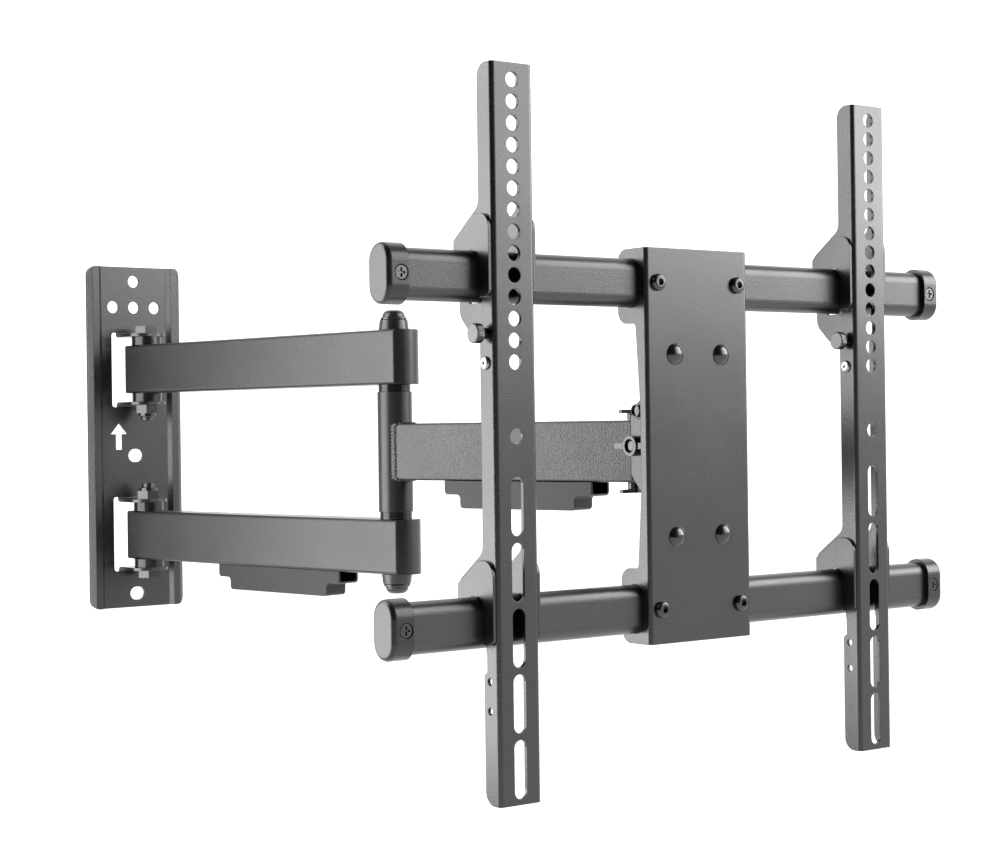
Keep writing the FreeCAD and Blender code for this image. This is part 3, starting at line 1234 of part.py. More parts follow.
def rail_profile():
    """Side outline of a rail's flange with its two hooks."""
    front = -rail_front
    flange = front + rail_flange
    waist = front + waist_deep
    corners = [(front, rail_top), (flange, rail_top, rail_end_round)]
    for level in (tube_spread / 2, -tube_spread / 2):
        rear, mouth_front, roof = hook_mouth(level)
        corners.append((flange, level + hook_flare_up, 8))
        corners.append((hook_rear, level + hook_shoulder_up, 2))
        corners.append((hook_rear, level - hook_foot_down, 3))
        corners.append((rear, level - hook_foot_down, 2))
        corners.append((rear, roof, 6))
        corners.append((mouth_front, roof, 6))
        corners.append((mouth_front, level - waist_top_down, 1))
        corners.append((waist, level - waist_top_down, 1))
        corners.append((waist, level - waist_end_down, 1.2))
        corners.append((flange, level - waist_end_down, 2.4))
    corners.append((flange, -rail_bottom, rail_end_round))
    corners.append((front, -rail_bottom))
    return corners


def repeat_down(body, feature, sketch, pitch, count):
    """Repeat a cut downwards along the sketch's upright axis."""
    pattern = body.newObject("PartDesign::LinearPattern", body.Name + "_row")
    pattern.Originals = [feature]
    pattern.Direction = (sketch, ["V_Axis"])
    pattern.Reversed = True
    pattern.setExpression("Length", (pitch * (count - 1)).formula)
    pattern.setExpression("Occurrences", count.formula)
    body.Tip = pattern
    return pattern


def make_rail(side, across):
    """One hook rail: folded channel, four hook plates and the latch's rivet."""
    label = side + "_rail"
    body = new_body(label)
    half = rail_wide / 2
    front = -rail_front
    profile = new_sketch(body, "YZ_Plane", -half)
    draw_outline(profile, rail_profile())
    pad(body, profile, rail_wide)
    hollow = new_sketch(body, "XY_Plane", -rail_bottom - OVERCUT)
    inner = half - rail_sheet
    web_back = front + rail_sheet
    rear = hook_rear + OVERCUT
    draw_outline(hollow, [(-inner, web_back), (inner, web_back), (inner, rear), (-inner, rear)])
    pocket(body, hollow, rail_top + rail_bottom + OVERCUT * 2)
    round_edges(body, lambda edge: runs_along(edge, "z") and lies_at(edge, "y", front), rail_bend)
    first_hole = rail_top - round_hole_top
    depth = rail_sheet + OVERCUT * 2
    hole = new_sketch(body, "XZ_Plane", rail_front - rail_sheet - OVERCUT)
    draw_circle(hole, 0, first_hole, round_hole)
    drilled = pocket(body, hole, depth)
    repeat_down(body, drilled, hole, round_hole_pitch, round_hole_count)
    lone = new_sketch(body, "XZ_Plane", rail_front - rail_sheet - OVERCUT)
    draw_circle(lone, 0, first_hole - single_hole_down, round_hole)
    pocket(body, lone, depth)
    slot = new_sketch(body, "XZ_Plane", rail_front - rail_sheet - OVERCUT)
    slot_middle = first_hole - slot_first_down
    run = (slot_long - slot_wide) / 2
    draw_slot(slot, (0, slot_middle - run), (0, slot_middle + run), slot_wide / 2)
    milled = pocket(body, slot, depth)
    repeat_down(body, milled, slot, slot_pitch, slot_count)
    pierced = new_sketch(body, "YZ_Plane", -half - OVERCUT)
    axis_y = front + latch_axis_deep
    for level in (tube_spread / 2, -tube_spread / 2):
        for down in (latch_screw_down, latch_rivet_down):
            draw_circle(pierced, axis_y, level - down, flange_hole)
    pocket(body, pierced, rail_sheet + OVERCUT * 2)
    keep(place(body, from_tilt(across, 0, 0)), label)

    plate = new_body(side + "_hook_plate_pattern")
    rear, mouth_front, roof = hook_mouth(as_size(0))
    plate_front = front + doubler_front
    slope = (hook_flare_up - hook_shoulder_up) / (hook_rear + rail_front - rail_flange)
    top_rear = hook_rear - (doubler_top_up - doubler_shoulder_up) / slope
    sketch = new_sketch(plate, "YZ_Plane", -half - doubler_sheet)
    corners = [(plate_front, -doubler_foot_down, 4), (mouth_front, -doubler_foot_down, 1)]
    corners += [(mouth_front, roof, 6), (rear, roof, 6), (rear, -doubler_foot_down, 2)]
    corners += [(hook_rear, -doubler_foot_down, 3), (hook_rear, doubler_shoulder_up, 2)]
    corners += [(top_rear, doubler_top_up, 3), (plate_front, doubler_top_up, doubler_top_round)]
    draw_outline(sketch, corners)
    pad(plate, sketch, doubler_sheet)
    plate_spots = []
    for level in (tube_spread / 2, -tube_spread / 2):
        plate_spots.append((from_tilt(across, 0, level),))
        plate_spots.append((from_tilt(across + rail_wide + doubler_sheet, 0, level),))
    copies(side + "_hook_plates", plate, plate_spots)

    rivet = new_body(side + "_latch_rivet")
    shaft = flange_hole / 2 - bolt_gap
    tail_in = rail_sheet + latch_gap + latch_sheet + latch_gap
    head = rivet_head / 2
    tail = head * rivet_tail_share
    tail_end = tail_in + rivet_tail
    eye_floor = rivet_dome - rivet_eye_deep
    corners = [(0, -tail_end), (tail, -tail_end), (tail, -tail_in), (shaft, -tail_in), (shaft, 0)]
    corners += [(head, 0), (head, rivet_dome, rivet_dome - rivet_rim), (rivet_eye / 2, rivet_dome)]
    corners += [(rivet_eye / 2, eye_floor), (0, eye_floor)]
    turn_up(rivet, corners)
    spot = from_tilt(across - half, axis_y, tube_spread / 2 - latch_rivet_down)
    keep(place(rivet, spot, -90, (0, 1, 0)), side + "_latch_rivet")


def make_latch(side, across):
    """Latch plate inside the rail's left flange that closes the upper hook, and its thumb screw."""
    level = tube_spread / 2
    half = rail_wide / 2
    front = -rail_front
    axis_y = front + latch_axis_deep
    inner = half - rail_sheet - latch_gap
    top = level - latch_top_down
    screw = level - latch_screw_down
    rivet = level - latch_rivet_down
    edge = front + latch_front
    body = new_body(side + "_latch")
    sketch = new_sketch(body, "YZ_Plane", -inner)
    foot = rivet - latch_foot_round
    heel = axis_y + latch_foot_round
    lug_front = hook_mouth(level)[0]
    lug_top = top + latch_lug_up
    shoulder = level - latch_shoulder_down
    corners = [(edge, top - latch_top_fall, 2), (axis_y, top, 2), (lug_front, top, 1)]
    corners += [(lug_front, lug_top, 1), (latch_rear, lug_top, 2)]
    corners += [(latch_rear, shoulder, 10), (-latch_belly_front, level - latch_belly_down, 14)]
    corners += [(heel, level - latch_heel_down, 6), (heel, foot, 4), (edge, foot, 4)]
    draw_outline(sketch, corners)
    pad(body, sketch, latch_sheet)
    notch = new_sketch(body, "YZ_Plane", -inner - OVERCUT)
    room = flange_hole / 2 + slot_room
    draw_slot(notch, (edge - notch_run, screw - notch_drop), (axis_y, screw), room)
    pocket(body, notch, latch_sheet + OVERCUT * 2)
    eye = new_sketch(body, "YZ_Plane", -inner - OVERCUT)
    draw_circle(eye, axis_y, rivet, flange_hole)
    pocket(body, eye, latch_sheet + OVERCUT * 2)
    keep(place(body, from_tilt(across, 0, 0)), side + "_latch")

    thumb = new_body(side + "_thumb_screw")
    shaft = flange_hole / 2 - bolt_gap
    neck = thumb_neck / 2
    head = thumb_head / 2
    end = rail_sheet + latch_gap + latch_sheet + thumb_past
    start = knob_gap
    corners = [(0, -end), (shaft, -end), (shaft, start), (neck, start), (neck, start + thumb_neck_long)]
    corners += [(head, start + thumb_neck_long), (head, start + thumb_neck_long + thumb_head_long, 1)]
    corners += [(0, start + thumb_neck_long + thumb_head_long)]
    turn_up(thumb, corners)
    spot = from_tilt(across - half, axis_y, screw)
    keep(place(thumb, spot, -90, (0, 1, 0)), side + "_thumb_screw")


def winged_knob(label, hub_across, hub_long, reach, thick, deep, setback, bore):
    """Hub with two flat wings, built along Z with its face at the top."""
    body = new_body(label)
    sketch = new_sketch(body, "XY_Plane")
    draw_circle(sketch, 0, 0, hub_across)
    pad(body, sketch, hub_long)
    wings = new_sketch(body, "XY_Plane", hub_long - setback - deep)
    tip = thick * wing_tip_share
    root_half = thick / 2
    corners = [(-tip, -reach, 1), (tip, -reach, 1), (root_half, 0)]
    corners += [(tip, reach, 1), (-tip, reach, 1), (-root_half, 0)]
    draw_outline(wings, corners)
    pad(body, wings, deep)
    hole = new_sketch(body, "XY_Plane", -OVERCUT)
    draw_circle(hole, 0, 0, bore)
    pocket(body, hole, hub_long + OVERCUT * 2)
    return body


def make_knobs():
    """Wing knobs of the tilt and the swivel, and the round knob that locks the tilt."""
    outer = yoke_half + friction_thick + bracket_sheet
    bore = tilt_bolt_across + bolt_gap * 2
    knob = winged_knob("tilt_knob", tilt_hub_across, tilt_hub_long, tilt_wing_reach,
                       tilt_wing_thick, tilt_wing_deep, wing_setback, bore)
    recess = new_sketch(knob, "XY_Plane", tilt_hub_long - tilt_recess_deep)
    draw_circle(recess, 0, 0, tilt_recess_across)
    pocket(knob, recess, tilt_recess_deep + OVERCUT)
    keep(place(knob, from_tilt(-outer - knob_gap, 0, 0), -90, (0, 1, 0)), "tilt_knob")

    lock = new_body("tilt_lock_knob")
    base = lock_hub_across / 2
    rim = lock_ring_across / 2
    recess = lock_recess_across / 2
    bolt = bore / 2
    top = lock_hub_long + lock_ring_long
    corners = [(bolt, 0), (base, 0), (base, lock_hub_long, 1.5), (rim, lock_hub_long), (rim, top, 0.6)]
    corners += [(recess, top), (recess, top - lock_recess_deep), (bolt, top - lock_recess_deep)]
    turn_up(lock, corners)
    spot = from_tilt(-outer - knob_gap, -lock_front, lock_up)
    keep(place(lock, spot, -90, (0, 1, 0)), "tilt_lock_knob")

    bore = stud_across + bolt_gap * 2
    top = winged_knob("swivel_knob_top", swivel_hub_across, swivel_hub_long, swivel_wing_reach,
                      swivel_wing_thick, swivel_wing_deep, 0, bore)
    rise = forearm_tall / 2 + knob_gap
    keep(place(top, (swivel_x, swivel_y, arms_level + rise), 90), "swivel_knob_top")
    bottom = winged_knob("swivel_knob_bottom", swivel_hub_across, swivel_hub_long, swivel_wing_reach,
                         swivel_wing_thick, swivel_wing_deep, 0, bore)
    place(bottom, (swivel_x, swivel_y, arms_level - rise), 180, (1, 1, 0))
    keep(bottom, "swivel_knob_bottom")


def main():
    DOC.recompute()
    make_wall_plate()
    make_wall_pivots()
    make_wall_arms()
    make_elbow()
    make_forearm()
    clip_start = arm_length - arm_clip_near - arm_clip_long
    make_clip("lower_arm_cable_clip", clip_start, arm_clip_long, arm_clip_wide, -arm_tall / 2,
              (0, -pivot_reach, lower_level), arm_turn)
    make_clip("forearm_cable_clip", fore_clip_near, fore_clip_long, fore_clip_wide, -forearm_tall / 2,
              ELBOW, forearm_turn)
    make_head()
    make_tilt_bracket()
    make_centre_plate()
    make_plate_fasteners()
    make_cross_tubes()
    for side, across in (("left", -rail_left), ("right", rail_right)):
        make_rail(side, across)
        make_latch(side, across)
    make_knobs()
    DOC.recompute()
    write_parts()


def write_parts():
    """Check every object and every sub-part, then write one file for each sub-part."""
    for thing in DOC.Objects:
        if "Invalid" in thing.State or "Error" in thing.State:
            raise RuntimeError(f"{thing.Label} failed: {thing.State}")
    for part in SUBPARTS:
        if part.Shape.isNull() or not part.Shape.isValid():
            raise RuntimeError(f"{part.Label} has no valid shape")
    os.makedirs("parts", exist_ok=True)
    for part in SUBPARTS:
        part.Shape.exportStep(f"parts/{part.Label}.step")
        solids = len(part.Shape.Solids)
        print(f"{part.Label}: {solids} solid(s), {part.Shape.Volume / 1000:.1f} cm3")


main()
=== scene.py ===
# %% [markdown]
# A wall mount for a flat screen, dressed for a studio photograph.
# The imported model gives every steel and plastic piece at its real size, in metres, so this file
# never moves them. It adds the camera, the light, the finishes, and the small forms that belong to
# making rather than to dimensions: a weld bead, knurling and threads.

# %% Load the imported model
import math
import json

import bmesh
import bpy
from mathutils import Matrix, Vector


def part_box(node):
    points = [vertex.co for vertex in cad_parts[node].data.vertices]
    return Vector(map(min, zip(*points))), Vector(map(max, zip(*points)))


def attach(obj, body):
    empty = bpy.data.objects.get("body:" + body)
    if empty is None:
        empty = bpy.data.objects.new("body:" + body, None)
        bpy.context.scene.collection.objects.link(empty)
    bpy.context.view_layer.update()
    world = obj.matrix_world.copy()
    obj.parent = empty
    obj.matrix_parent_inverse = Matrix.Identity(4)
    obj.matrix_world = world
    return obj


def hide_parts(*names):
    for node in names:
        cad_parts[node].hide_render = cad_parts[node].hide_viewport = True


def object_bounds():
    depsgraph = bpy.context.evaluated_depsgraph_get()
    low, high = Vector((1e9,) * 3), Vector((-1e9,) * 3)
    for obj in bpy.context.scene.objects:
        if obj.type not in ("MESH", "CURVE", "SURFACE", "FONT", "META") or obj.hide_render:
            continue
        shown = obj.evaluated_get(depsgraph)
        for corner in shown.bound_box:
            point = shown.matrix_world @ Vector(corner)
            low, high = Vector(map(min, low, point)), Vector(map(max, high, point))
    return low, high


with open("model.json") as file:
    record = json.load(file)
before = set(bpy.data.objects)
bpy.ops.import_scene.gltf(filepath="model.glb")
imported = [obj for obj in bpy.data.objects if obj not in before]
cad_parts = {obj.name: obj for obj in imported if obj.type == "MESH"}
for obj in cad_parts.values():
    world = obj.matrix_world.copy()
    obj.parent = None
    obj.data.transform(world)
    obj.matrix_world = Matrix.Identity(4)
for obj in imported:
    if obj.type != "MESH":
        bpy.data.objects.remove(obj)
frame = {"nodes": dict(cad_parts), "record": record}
nodes = frame["nodes"]
packed_box = [list(corner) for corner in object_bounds()]
MM = 0.001
print(len(nodes), "pieces from the model; box", packed_box)

# %% [markdown]
# The camera stands a little left of the screen side, at the height of the arms, and looks along
# the wall mount so that the folded arms show behind the rails. A long lens was used: the tubes
# converge only slightly. The converging lines of the rails and tubes gave the camera's place, its
# heading and its lens. The small shift is there because the photograph's horizon isn't in its middle.

# %% Camera
LENS_MM = 70.94
SENSOR_MM = 36.0
CAMERA_PLACE = Vector((-0.73097, -1.49401, 0.00632))
HEADING_DEGREES = -36.607
LEAN_DEGREES = -0.779
HORIZON_SHIFT = -0.0066

camera_data = bpy.data.cameras.new("photo_camera")
camera_data.lens = LENS_MM
camera_data.sensor_width = SENSOR_MM
camera_data.shift_y = HORIZON_SHIFT
camera = bpy.data.objects.new("photo_camera", camera_data)
bpy.context.scene.collection.objects.link(camera)
heading = Matrix.Rotation(math.radians(HEADING_DEGREES), 4, "Z")
upright = Matrix.Rotation(math.radians(90), 4, "X")
lean = Matrix.Rotation(math.radians(LEAN_DEGREES), 4, "Z")
camera.matrix_world = Matrix.Translation(CAMERA_PLACE) @ heading @ upright @ lean
bpy.context.scene.camera = camera
bpy.context.scene.view_settings.view_transform = "Standard"
print("camera at", [round(value, 3) for value in camera.location])

# %% [markdown]
# Black powder coat is nearly black, and yet the photograph shows it as several greys. Those greys
# are reflections. A panel at the left lights every flange that looks left, and it ends before the
# wall plate, so the arms grow darker towards it. Two high panels side by side at the right front
# light the faces that look at the room, and the outer one is brighter, because the right rail is
# paler than the left. Their lower edges stand just above the arms, so those faces fade from light at
# the top to dark at the bottom. Whatever looks straight at the camera sees only the dim studio, so
# bends and slopes stay dark.

# %% Light panels
def light_panel(name, middle, looks_at, width, height, brightness):
    """A rectangular lamp at one place that looks at another."""
    lamp = bpy.data.lights.new(name, "AREA")
    lamp.shape = "RECTANGLE"
    lamp.size = width
    lamp.size_y = height
    lamp.energy = brightness * width * height * math.pi
    holder = bpy.data.objects.new(name, lamp)
    bpy.context.scene.collection.objects.link(holder)
    holder.location = middle
    away = Vector(middle) - Vector(looks_at)
    holder.rotation_euler = away.to_track_quat("Z", "Y").to_euler()
    holder.visible_camera = False


light_panel(
    "left_panel", middle=(-0.50, -0.045, 0.235), looks_at=(0.0, -0.045, 0.235),
    width=0.60, height=1.13, brightness=5.5,
)
light_panel(
    "right_front_panel", middle=(0.96, -1.82, 0.88), looks_at=(-0.03, -0.53, 0.88),
    width=0.72, height=1.42, brightness=4.0,
)
light_panel(
    "far_right_panel", middle=(1.56, -1.36, 0.88), looks_at=(0.57, -0.07, 0.88),
    width=0.80, height=1.42, brightness=8.0,
)
print("three light panels")

# %% [markdown]
# A panel has hard edges, and the rest of the studio is softer. So the world's brightness goes by the
# angle between a direction and the middle of a glow, and rises as the two come together. Where glows
# overlap, the brighter one counts.

# %% Brightness by direction
def glow(tree, toward, starts_at, full_at, least, most):
    """Brightness that rises as a direction nears the glow's middle."""
    place = tree.nodes.new("ShaderNodeTexCoord")
    nearness = tree.nodes.new("ShaderNodeVectorMath")
    nearness.operation = "DOT_PRODUCT"
    nearness.inputs[1].default_value = toward
    tree.links.new(place.outputs["Generated"], nearness.inputs[0])
    rise = tree.nodes.new("ShaderNodeMapRange")
    rise.inputs["From Min"].default_value = starts_at
    rise.inputs["From Max"].default_value = full_at
    rise.inputs["To Min"].default_value = least
    rise.inputs["To Max"].default_value = most
    tree.links.new(nearness.outputs["Value"], rise.inputs["Value"])
    return rise.outputs["Result"]


def brighter_of(tree, first, second):
    """The larger of two values."""
    larger = tree.nodes.new("ShaderNodeMath")
    larger.operation = "MAXIMUM"
    tree.links.new(first, larger.inputs[0])
    tree.links.new(second, larger.inputs[1])
    return larger.outputs["Value"]


def mirrored_ray(tree, path):
    """1 for a ray that a shiny or clear surface sent on, 0 for any other."""
    return brighter_of(tree, path.outputs["Is Glossy Ray"], path.outputs["Is Transmission Ray"])


print("three helpers for the world and the floor")

# %% [markdown]
# Two soft glows stand in a dim room. The one at the right front lights the lower half of the faces
# that the panels miss. The one behind the wall, high at the right, is not seen by any face that the
# photograph shows, and lights the mount's back for whoever walks round it. The camera sees white all
# round. Reflections see white where the backdrop stands, behind the mount, and the dim room in
# front: a white room on every side would wash out the dark bends.

# %% World
DIM = 0.06
world = bpy.data.worlds.new("studio")
bpy.context.scene.world = world
world.use_nodes = True
tree = world.node_tree
tree.nodes.clear()
front_glow = glow(tree, toward=(0.84, -0.54, 0.0), starts_at=0.45, full_at=1.0, least=DIM, most=1.35)
back_glow = glow(tree, toward=(0.55, 0.75, 0.36), starts_at=0.25, full_at=0.85, least=DIM, most=1.6)
backdrop = glow(tree, toward=(0.6, 0.8, 0.0), starts_at=0.55, full_at=0.75, least=0.0, most=1.0)
path = tree.nodes.new("ShaderNodeLightPath")
mirrored_backdrop = tree.nodes.new("ShaderNodeMath")
mirrored_backdrop.operation = "MULTIPLY"
tree.links.new(mirrored_ray(tree, path), mirrored_backdrop.inputs[0])
tree.links.new(backdrop, mirrored_backdrop.inputs[1])
white = brighter_of(tree, path.outputs["Is Camera Ray"], mirrored_backdrop.outputs["Value"])
strength = brighter_of(tree, brighter_of(tree, front_glow, back_glow), white)
background = tree.nodes.new("ShaderNodeBackground")
background.inputs["Color"].default_value = (1.0, 1.0, 1.0, 1.0)
output = tree.nodes.new("ShaderNodeOutputWorld")
tree.links.new(strength, background.inputs["Strength"])
tree.links.new(background.outputs["Background"], output.inputs["Surface"])
print("world ready")

# %% [markdown]
# The mount hangs on a wall, so the floor is well below it. It is a plain grey sheet. Most of the
# white that the camera and the reflections see on it is a light of its own, which falls on nothing
# else, and the rest is the lamps' light, which keeps what shadow the mount throws.

# %% Floor
FLOOR_BELOW = 0.35
FLOOR_HALF_WIDE = 6.0
FLOOR_GREY = 0.45
FLOOR_LIFT = 0.92
floor_mesh = bpy.data.meshes.new("studio_floor")
floor_level = packed_box[0][2] - FLOOR_BELOW
corners = [(-1, -1), (1, -1), (1, 1), (-1, 1)]
places = [(x * FLOOR_HALF_WIDE, y * FLOOR_HALF_WIDE, floor_level) for x, y in corners]
floor_mesh.from_pydata(places, [], [(0, 1, 2, 3)])
floor = bpy.data.objects.new("studio_floor", floor_mesh)
bpy.context.scene.collection.objects.link(floor)
pale = bpy.data.materials.new("pale_floor")
pale.use_nodes = True
tree = pale.node_tree
shader = tree.nodes["Principled BSDF"]
shader.inputs["Base Color"].default_value = (FLOOR_GREY, FLOOR_GREY, FLOOR_GREY, 1.0)
shader.inputs["Roughness"].default_value = 0.8
shader.inputs["Emission Color"].default_value = (1.0, 1.0, 1.0, 1.0)
path = tree.nodes.new("ShaderNodeLightPath")
lift = tree.nodes.new("ShaderNodeMath")
lift.operation = "MULTIPLY"
lift.inputs[1].default_value = FLOOR_LIFT
seen = brighter_of(tree, path.outputs["Is Camera Ray"], mirrored_ray(tree, path))
tree.links.new(seen, lift.inputs[0])
tree.links.new(lift.outputs["Value"], shader.inputs["Emission Strength"])
floor_mesh.materials.append(pale)
print("floor at", round(floor_level, 3))

# %% [markdown]
# Each finish is a Principled shader with constant values on its own sockets, and a few nodes for
# what varies: lumps of noise in the object's own space, a second colour where a mask is high, a
# rounded normal on sharp edges, and a bump. The lumps are sized in millimetres.

# %% Material helpers
def new_finish(name, colour, roughness, specular, metallic=0.0):
    """A material with its shader's plain values set, ready for detail nodes."""
    finish = bpy.data.materials.new(name)
    finish.use_nodes = True
    shader = finish.node_tree.nodes["Principled BSDF"]
    shader.inputs["Base Color"].default_value = (*colour, 1.0)
    shader.inputs["Roughness"].default_value = roughness
    shader.inputs["Specular IOR Level"].default_value = specular
    shader.inputs["Metallic"].default_value = metallic
    return finish, finish.node_tree, shader


def grain(tree, size_mm, detail=2.0):
    """Noise in the object's space with lumps of a given size."""
    where = tree.nodes.new("ShaderNodeTexCoord")
    noise = tree.nodes.new("ShaderNodeTexNoise")
    noise.inputs["Scale"].default_value = 1.0 / (size_mm * MM)
    noise.inputs["Detail"].default_value = detail
    tree.links.new(where.outputs["Object"], noise.inputs["Vector"])
    return noise.outputs["Fac"]


def spread(tree, value, low, high, low_in=0.3, high_in=0.7):
    """Stretch a value to run between two ends; noise lies mostly between 0.3 and 0.7."""
    ramp = tree.nodes.new("ShaderNodeMapRange")
    ramp.inputs["From Min"].default_value = low_in
    ramp.inputs["From Max"].default_value = high_in
    ramp.inputs["To Min"].default_value = low
    ramp.inputs["To Max"].default_value = high
    tree.links.new(value, ramp.inputs["Value"])
    return ramp.outputs["Result"]


def two_tones(tree, mask, dark, light):
    """A colour that goes from dark to light with a mask."""
    blend = tree.nodes.new("ShaderNodeMix")
    blend.data_type = "RGBA"
    blend.inputs["A"].default_value = (*dark, 1.0)
    blend.inputs["B"].default_value = (*light, 1.0)
    tree.links.new(mask, blend.inputs["Factor"])
    return blend.outputs["Result"]


def soft_edge(tree, radius_mm):
    """Normal that rounds sharp edges over, and a mask that is high on them."""
    rounded = tree.nodes.new("ShaderNodeBevel")
    rounded.samples = 4
    rounded.inputs["Radius"].default_value = radius_mm * MM
    geometry = tree.nodes.new("ShaderNodeNewGeometry")
    match = tree.nodes.new("ShaderNodeVectorMath")
    match.operation = "DOT_PRODUCT"
    tree.links.new(rounded.outputs["Normal"], match.inputs[0])
    tree.links.new(geometry.outputs["Normal"], match.inputs[1])
    mask = spread(tree, match.outputs["Value"], 1.0, 0.0, low_in=0.86, high_in=0.99)
    return rounded.outputs["Normal"], mask


def bump(tree, shader, height, depth_mm, strength, normal=None):
    """Raise the surface by a height map of a given depth."""
    relief = tree.nodes.new("ShaderNodeBump")
    relief.inputs["Strength"].default_value = strength
    relief.inputs["Distance"].default_value = depth_mm * MM
    tree.links.new(height, relief.inputs["Height"])
    if normal is not None:
        tree.links.new(normal, relief.inputs["Normal"])
    tree.links.new(relief.outputs["Normal"], shader.inputs["Normal"])


print("helpers ready")

# %% [markdown]
# Powder coat is a thin skin of melted plastic. Close up it has a pebble, called orange peel, about a
# millimetre across, and it pulls thin over every sheared edge. Sharp edges are painted paler, partly
# for that thin coat and partly as a painted highlight of the bright line that a lit edge catches. The
# sheet steel and the wall arms came out smooth, the cross tubes coarser and the forearm coarsest, so
# one function makes all four coats. Roughness drifts a little over large areas, as it does in a real
# oven.

# %% Powder coat
COAT_PLAIN = (0.004, 0.004, 0.0042)
COAT_DARK = (0.005, 0.005, 0.0052)
COAT_SPECK = (0.018, 0.018, 0.0185)
# The edge colour below is partly the thinner coat on edges and partly a painted highlight.
COAT_THIN_EDGE_HIGHLIGHT = (0.02, 0.02, 0.021)
SPECK_MM = 0.8
DRIFT_MM = 45.0
COAT_EDGE_MM = 0.7


def make_powder_coat(name, gloss, roughness, pebble_mm, relief_mm):
    """Black coat with pale specks, edges painted paler for thin coat and as a painted highlight, and a
    pebble of a given size and height.
    """
    finish, tree, shader = new_finish(name, COAT_PLAIN, roughness, specular=gloss)
    pebble = grain(tree, pebble_mm)
    speck = spread(tree, grain(tree, SPECK_MM, detail=3.0), 0.0, 1.0, low_in=0.52, high_in=0.72)
    body = two_tones(tree, speck, COAT_DARK, COAT_SPECK)
    edge_normal, edge = soft_edge(tree, COAT_EDGE_MM)
    # Sharp edges are painted paler: partly thinner coat, partly a painted highlight of the bright line
    # that a lit edge catches.
    thin_coat_and_highlight = tree.nodes.new("ShaderNodeMix")
    thin_coat_and_highlight.data_type = "RGBA"
    thin_coat_and_highlight.inputs["B"].default_value = (*COAT_THIN_EDGE_HIGHLIGHT, 1.0)
    half_edge = spread(tree, edge, 0.0, 0.55, low_in=0.0, high_in=1.0)
    tree.links.new(half_edge, thin_coat_and_highlight.inputs["Factor"])
    tree.links.new(body, thin_coat_and_highlight.inputs["A"])
    tree.links.new(thin_coat_and_highlight.outputs["Result"], shader.inputs["Base Color"])
    drift = spread(tree, grain(tree, DRIFT_MM), roughness - 0.02, roughness + 0.04)
    tree.links.new(drift, shader.inputs["Roughness"])
    bump(tree, shader, pebble, relief_mm, strength=1.0, normal=edge_normal)
    return finish


powder_coat = make_powder_coat("powder_coat", gloss=0.80, roughness=0.25, pebble_mm=1.0, relief_mm=0.08)
arm_coat = make_powder_coat("arm_coat", gloss=0.62, roughness=0.30, pebble_mm=0.9, relief_mm=0.10)
tube_coat = make_powder_coat("tube_coat", gloss=0.80, roughness=0.33, pebble_mm=0.8, relief_mm=0.11)
forearm_coat = make_powder_coat("forearm_coat", gloss=0.70, roughness=0.33, pebble_mm=1.0, relief_mm=0.40)
print("four coats of", len(powder_coat.node_tree.nodes), "nodes each")

# %% [markdown]
# The end caps, plugs, cable clips and knobs are moulded. Mould steel is spark-eroded so that the
# plastic comes out with a very fine matt grain, and its colour is even. The same helpers are used
# as for the coat, with finer grain and less contrast. They also make the nylon of the bushes and the
# satin black of the elbow's bolt, nut and collars, which is as even as plastic.

# %% Moulded plastic and nylon
MOULDED_EDGE_MM = 0.6
CLOUD_MM = 9.0
CLOUD_LIGHTER = 1.5
BLUER = 1.05


def make_moulded(name, tone, roughness, grain_mm, relief_mm, gloss):
    """Moulded plastic with a fine matt grain and slow clouds of tone."""
    dark = (tone, tone, tone * BLUER)
    light = (tone * CLOUD_LIGHTER,) * 3
    finish, tree, shader = new_finish(name, dark, roughness, specular=gloss)
    fine = grain(tree, grain_mm, detail=3.0)
    cloud = spread(tree, grain(tree, CLOUD_MM), 0.0, 1.0)
    mix = two_tones(tree, cloud, dark, light)
    tree.links.new(mix, shader.inputs["Base Color"])
    tree.links.new(spread(tree, fine, roughness - 0.05, roughness + 0.06), shader.inputs["Roughness"])
    edge_normal = soft_edge(tree, MOULDED_EDGE_MM)[0]
    bump(tree, shader, fine, relief_mm, strength=0.3, normal=edge_normal)
    return finish


cap_plastic = make_moulded(
    "cap_plastic", tone=0.007, roughness=0.28, grain_mm=0.35, relief_mm=0.03, gloss=0.58,
)
clip_plastic = make_moulded(
    "clip_plastic", tone=0.006, roughness=0.40, grain_mm=0.4, relief_mm=0.03, gloss=0.36,
)
knob_plastic = make_moulded(
    "knob_plastic", tone=0.007, roughness=0.26, grain_mm=0.3, relief_mm=0.02, gloss=0.9,
)
nylon = make_moulded(
    "bush_nylon", tone=0.004, roughness=0.18, grain_mm=0.6, relief_mm=0.01, gloss=0.5,
)
satin_black = make_moulded(
    "satin_black", tone=0.007, roughness=0.30, grain_mm=0.5, relief_mm=0.03, gloss=0.7,
)
print("five moulded finishes")

# %% [markdown]
# Bolts and screws are plated black: smoother and glossier than the coat, so their domes hold a
# small bright picture of the panels. The latch rivets are bright zinc, which is a pale metal with
# the faintest cloudiness.

# %% Plated steel
PLATED_EDGE_MM = 0.35
SMEAR_MM = 1.4
SMEAR_DARKER = 0.7


def make_plated(name, colour, roughness, metallic, specular):
    """Plated steel, a little cloudy in tone and gloss."""
    finish, tree, shader = new_finish(name, colour, roughness, specular, metallic)
    smear = grain(tree, SMEAR_MM, detail=4.0)
    darker = tuple(value * SMEAR_DARKER for value in colour)
    mix = two_tones(tree, spread(tree, smear, 0.0, 1.0), darker, colour)
    tree.links.new(mix, shader.inputs["Base Color"])
    tree.links.new(spread(tree, smear, roughness - 0.04, roughness + 0.08), shader.inputs["Roughness"])
    edge_normal = soft_edge(tree, PLATED_EDGE_MM)[0]
    bump(tree, shader, smear, depth_mm=0.02, strength=0.25, normal=edge_normal)
    return finish


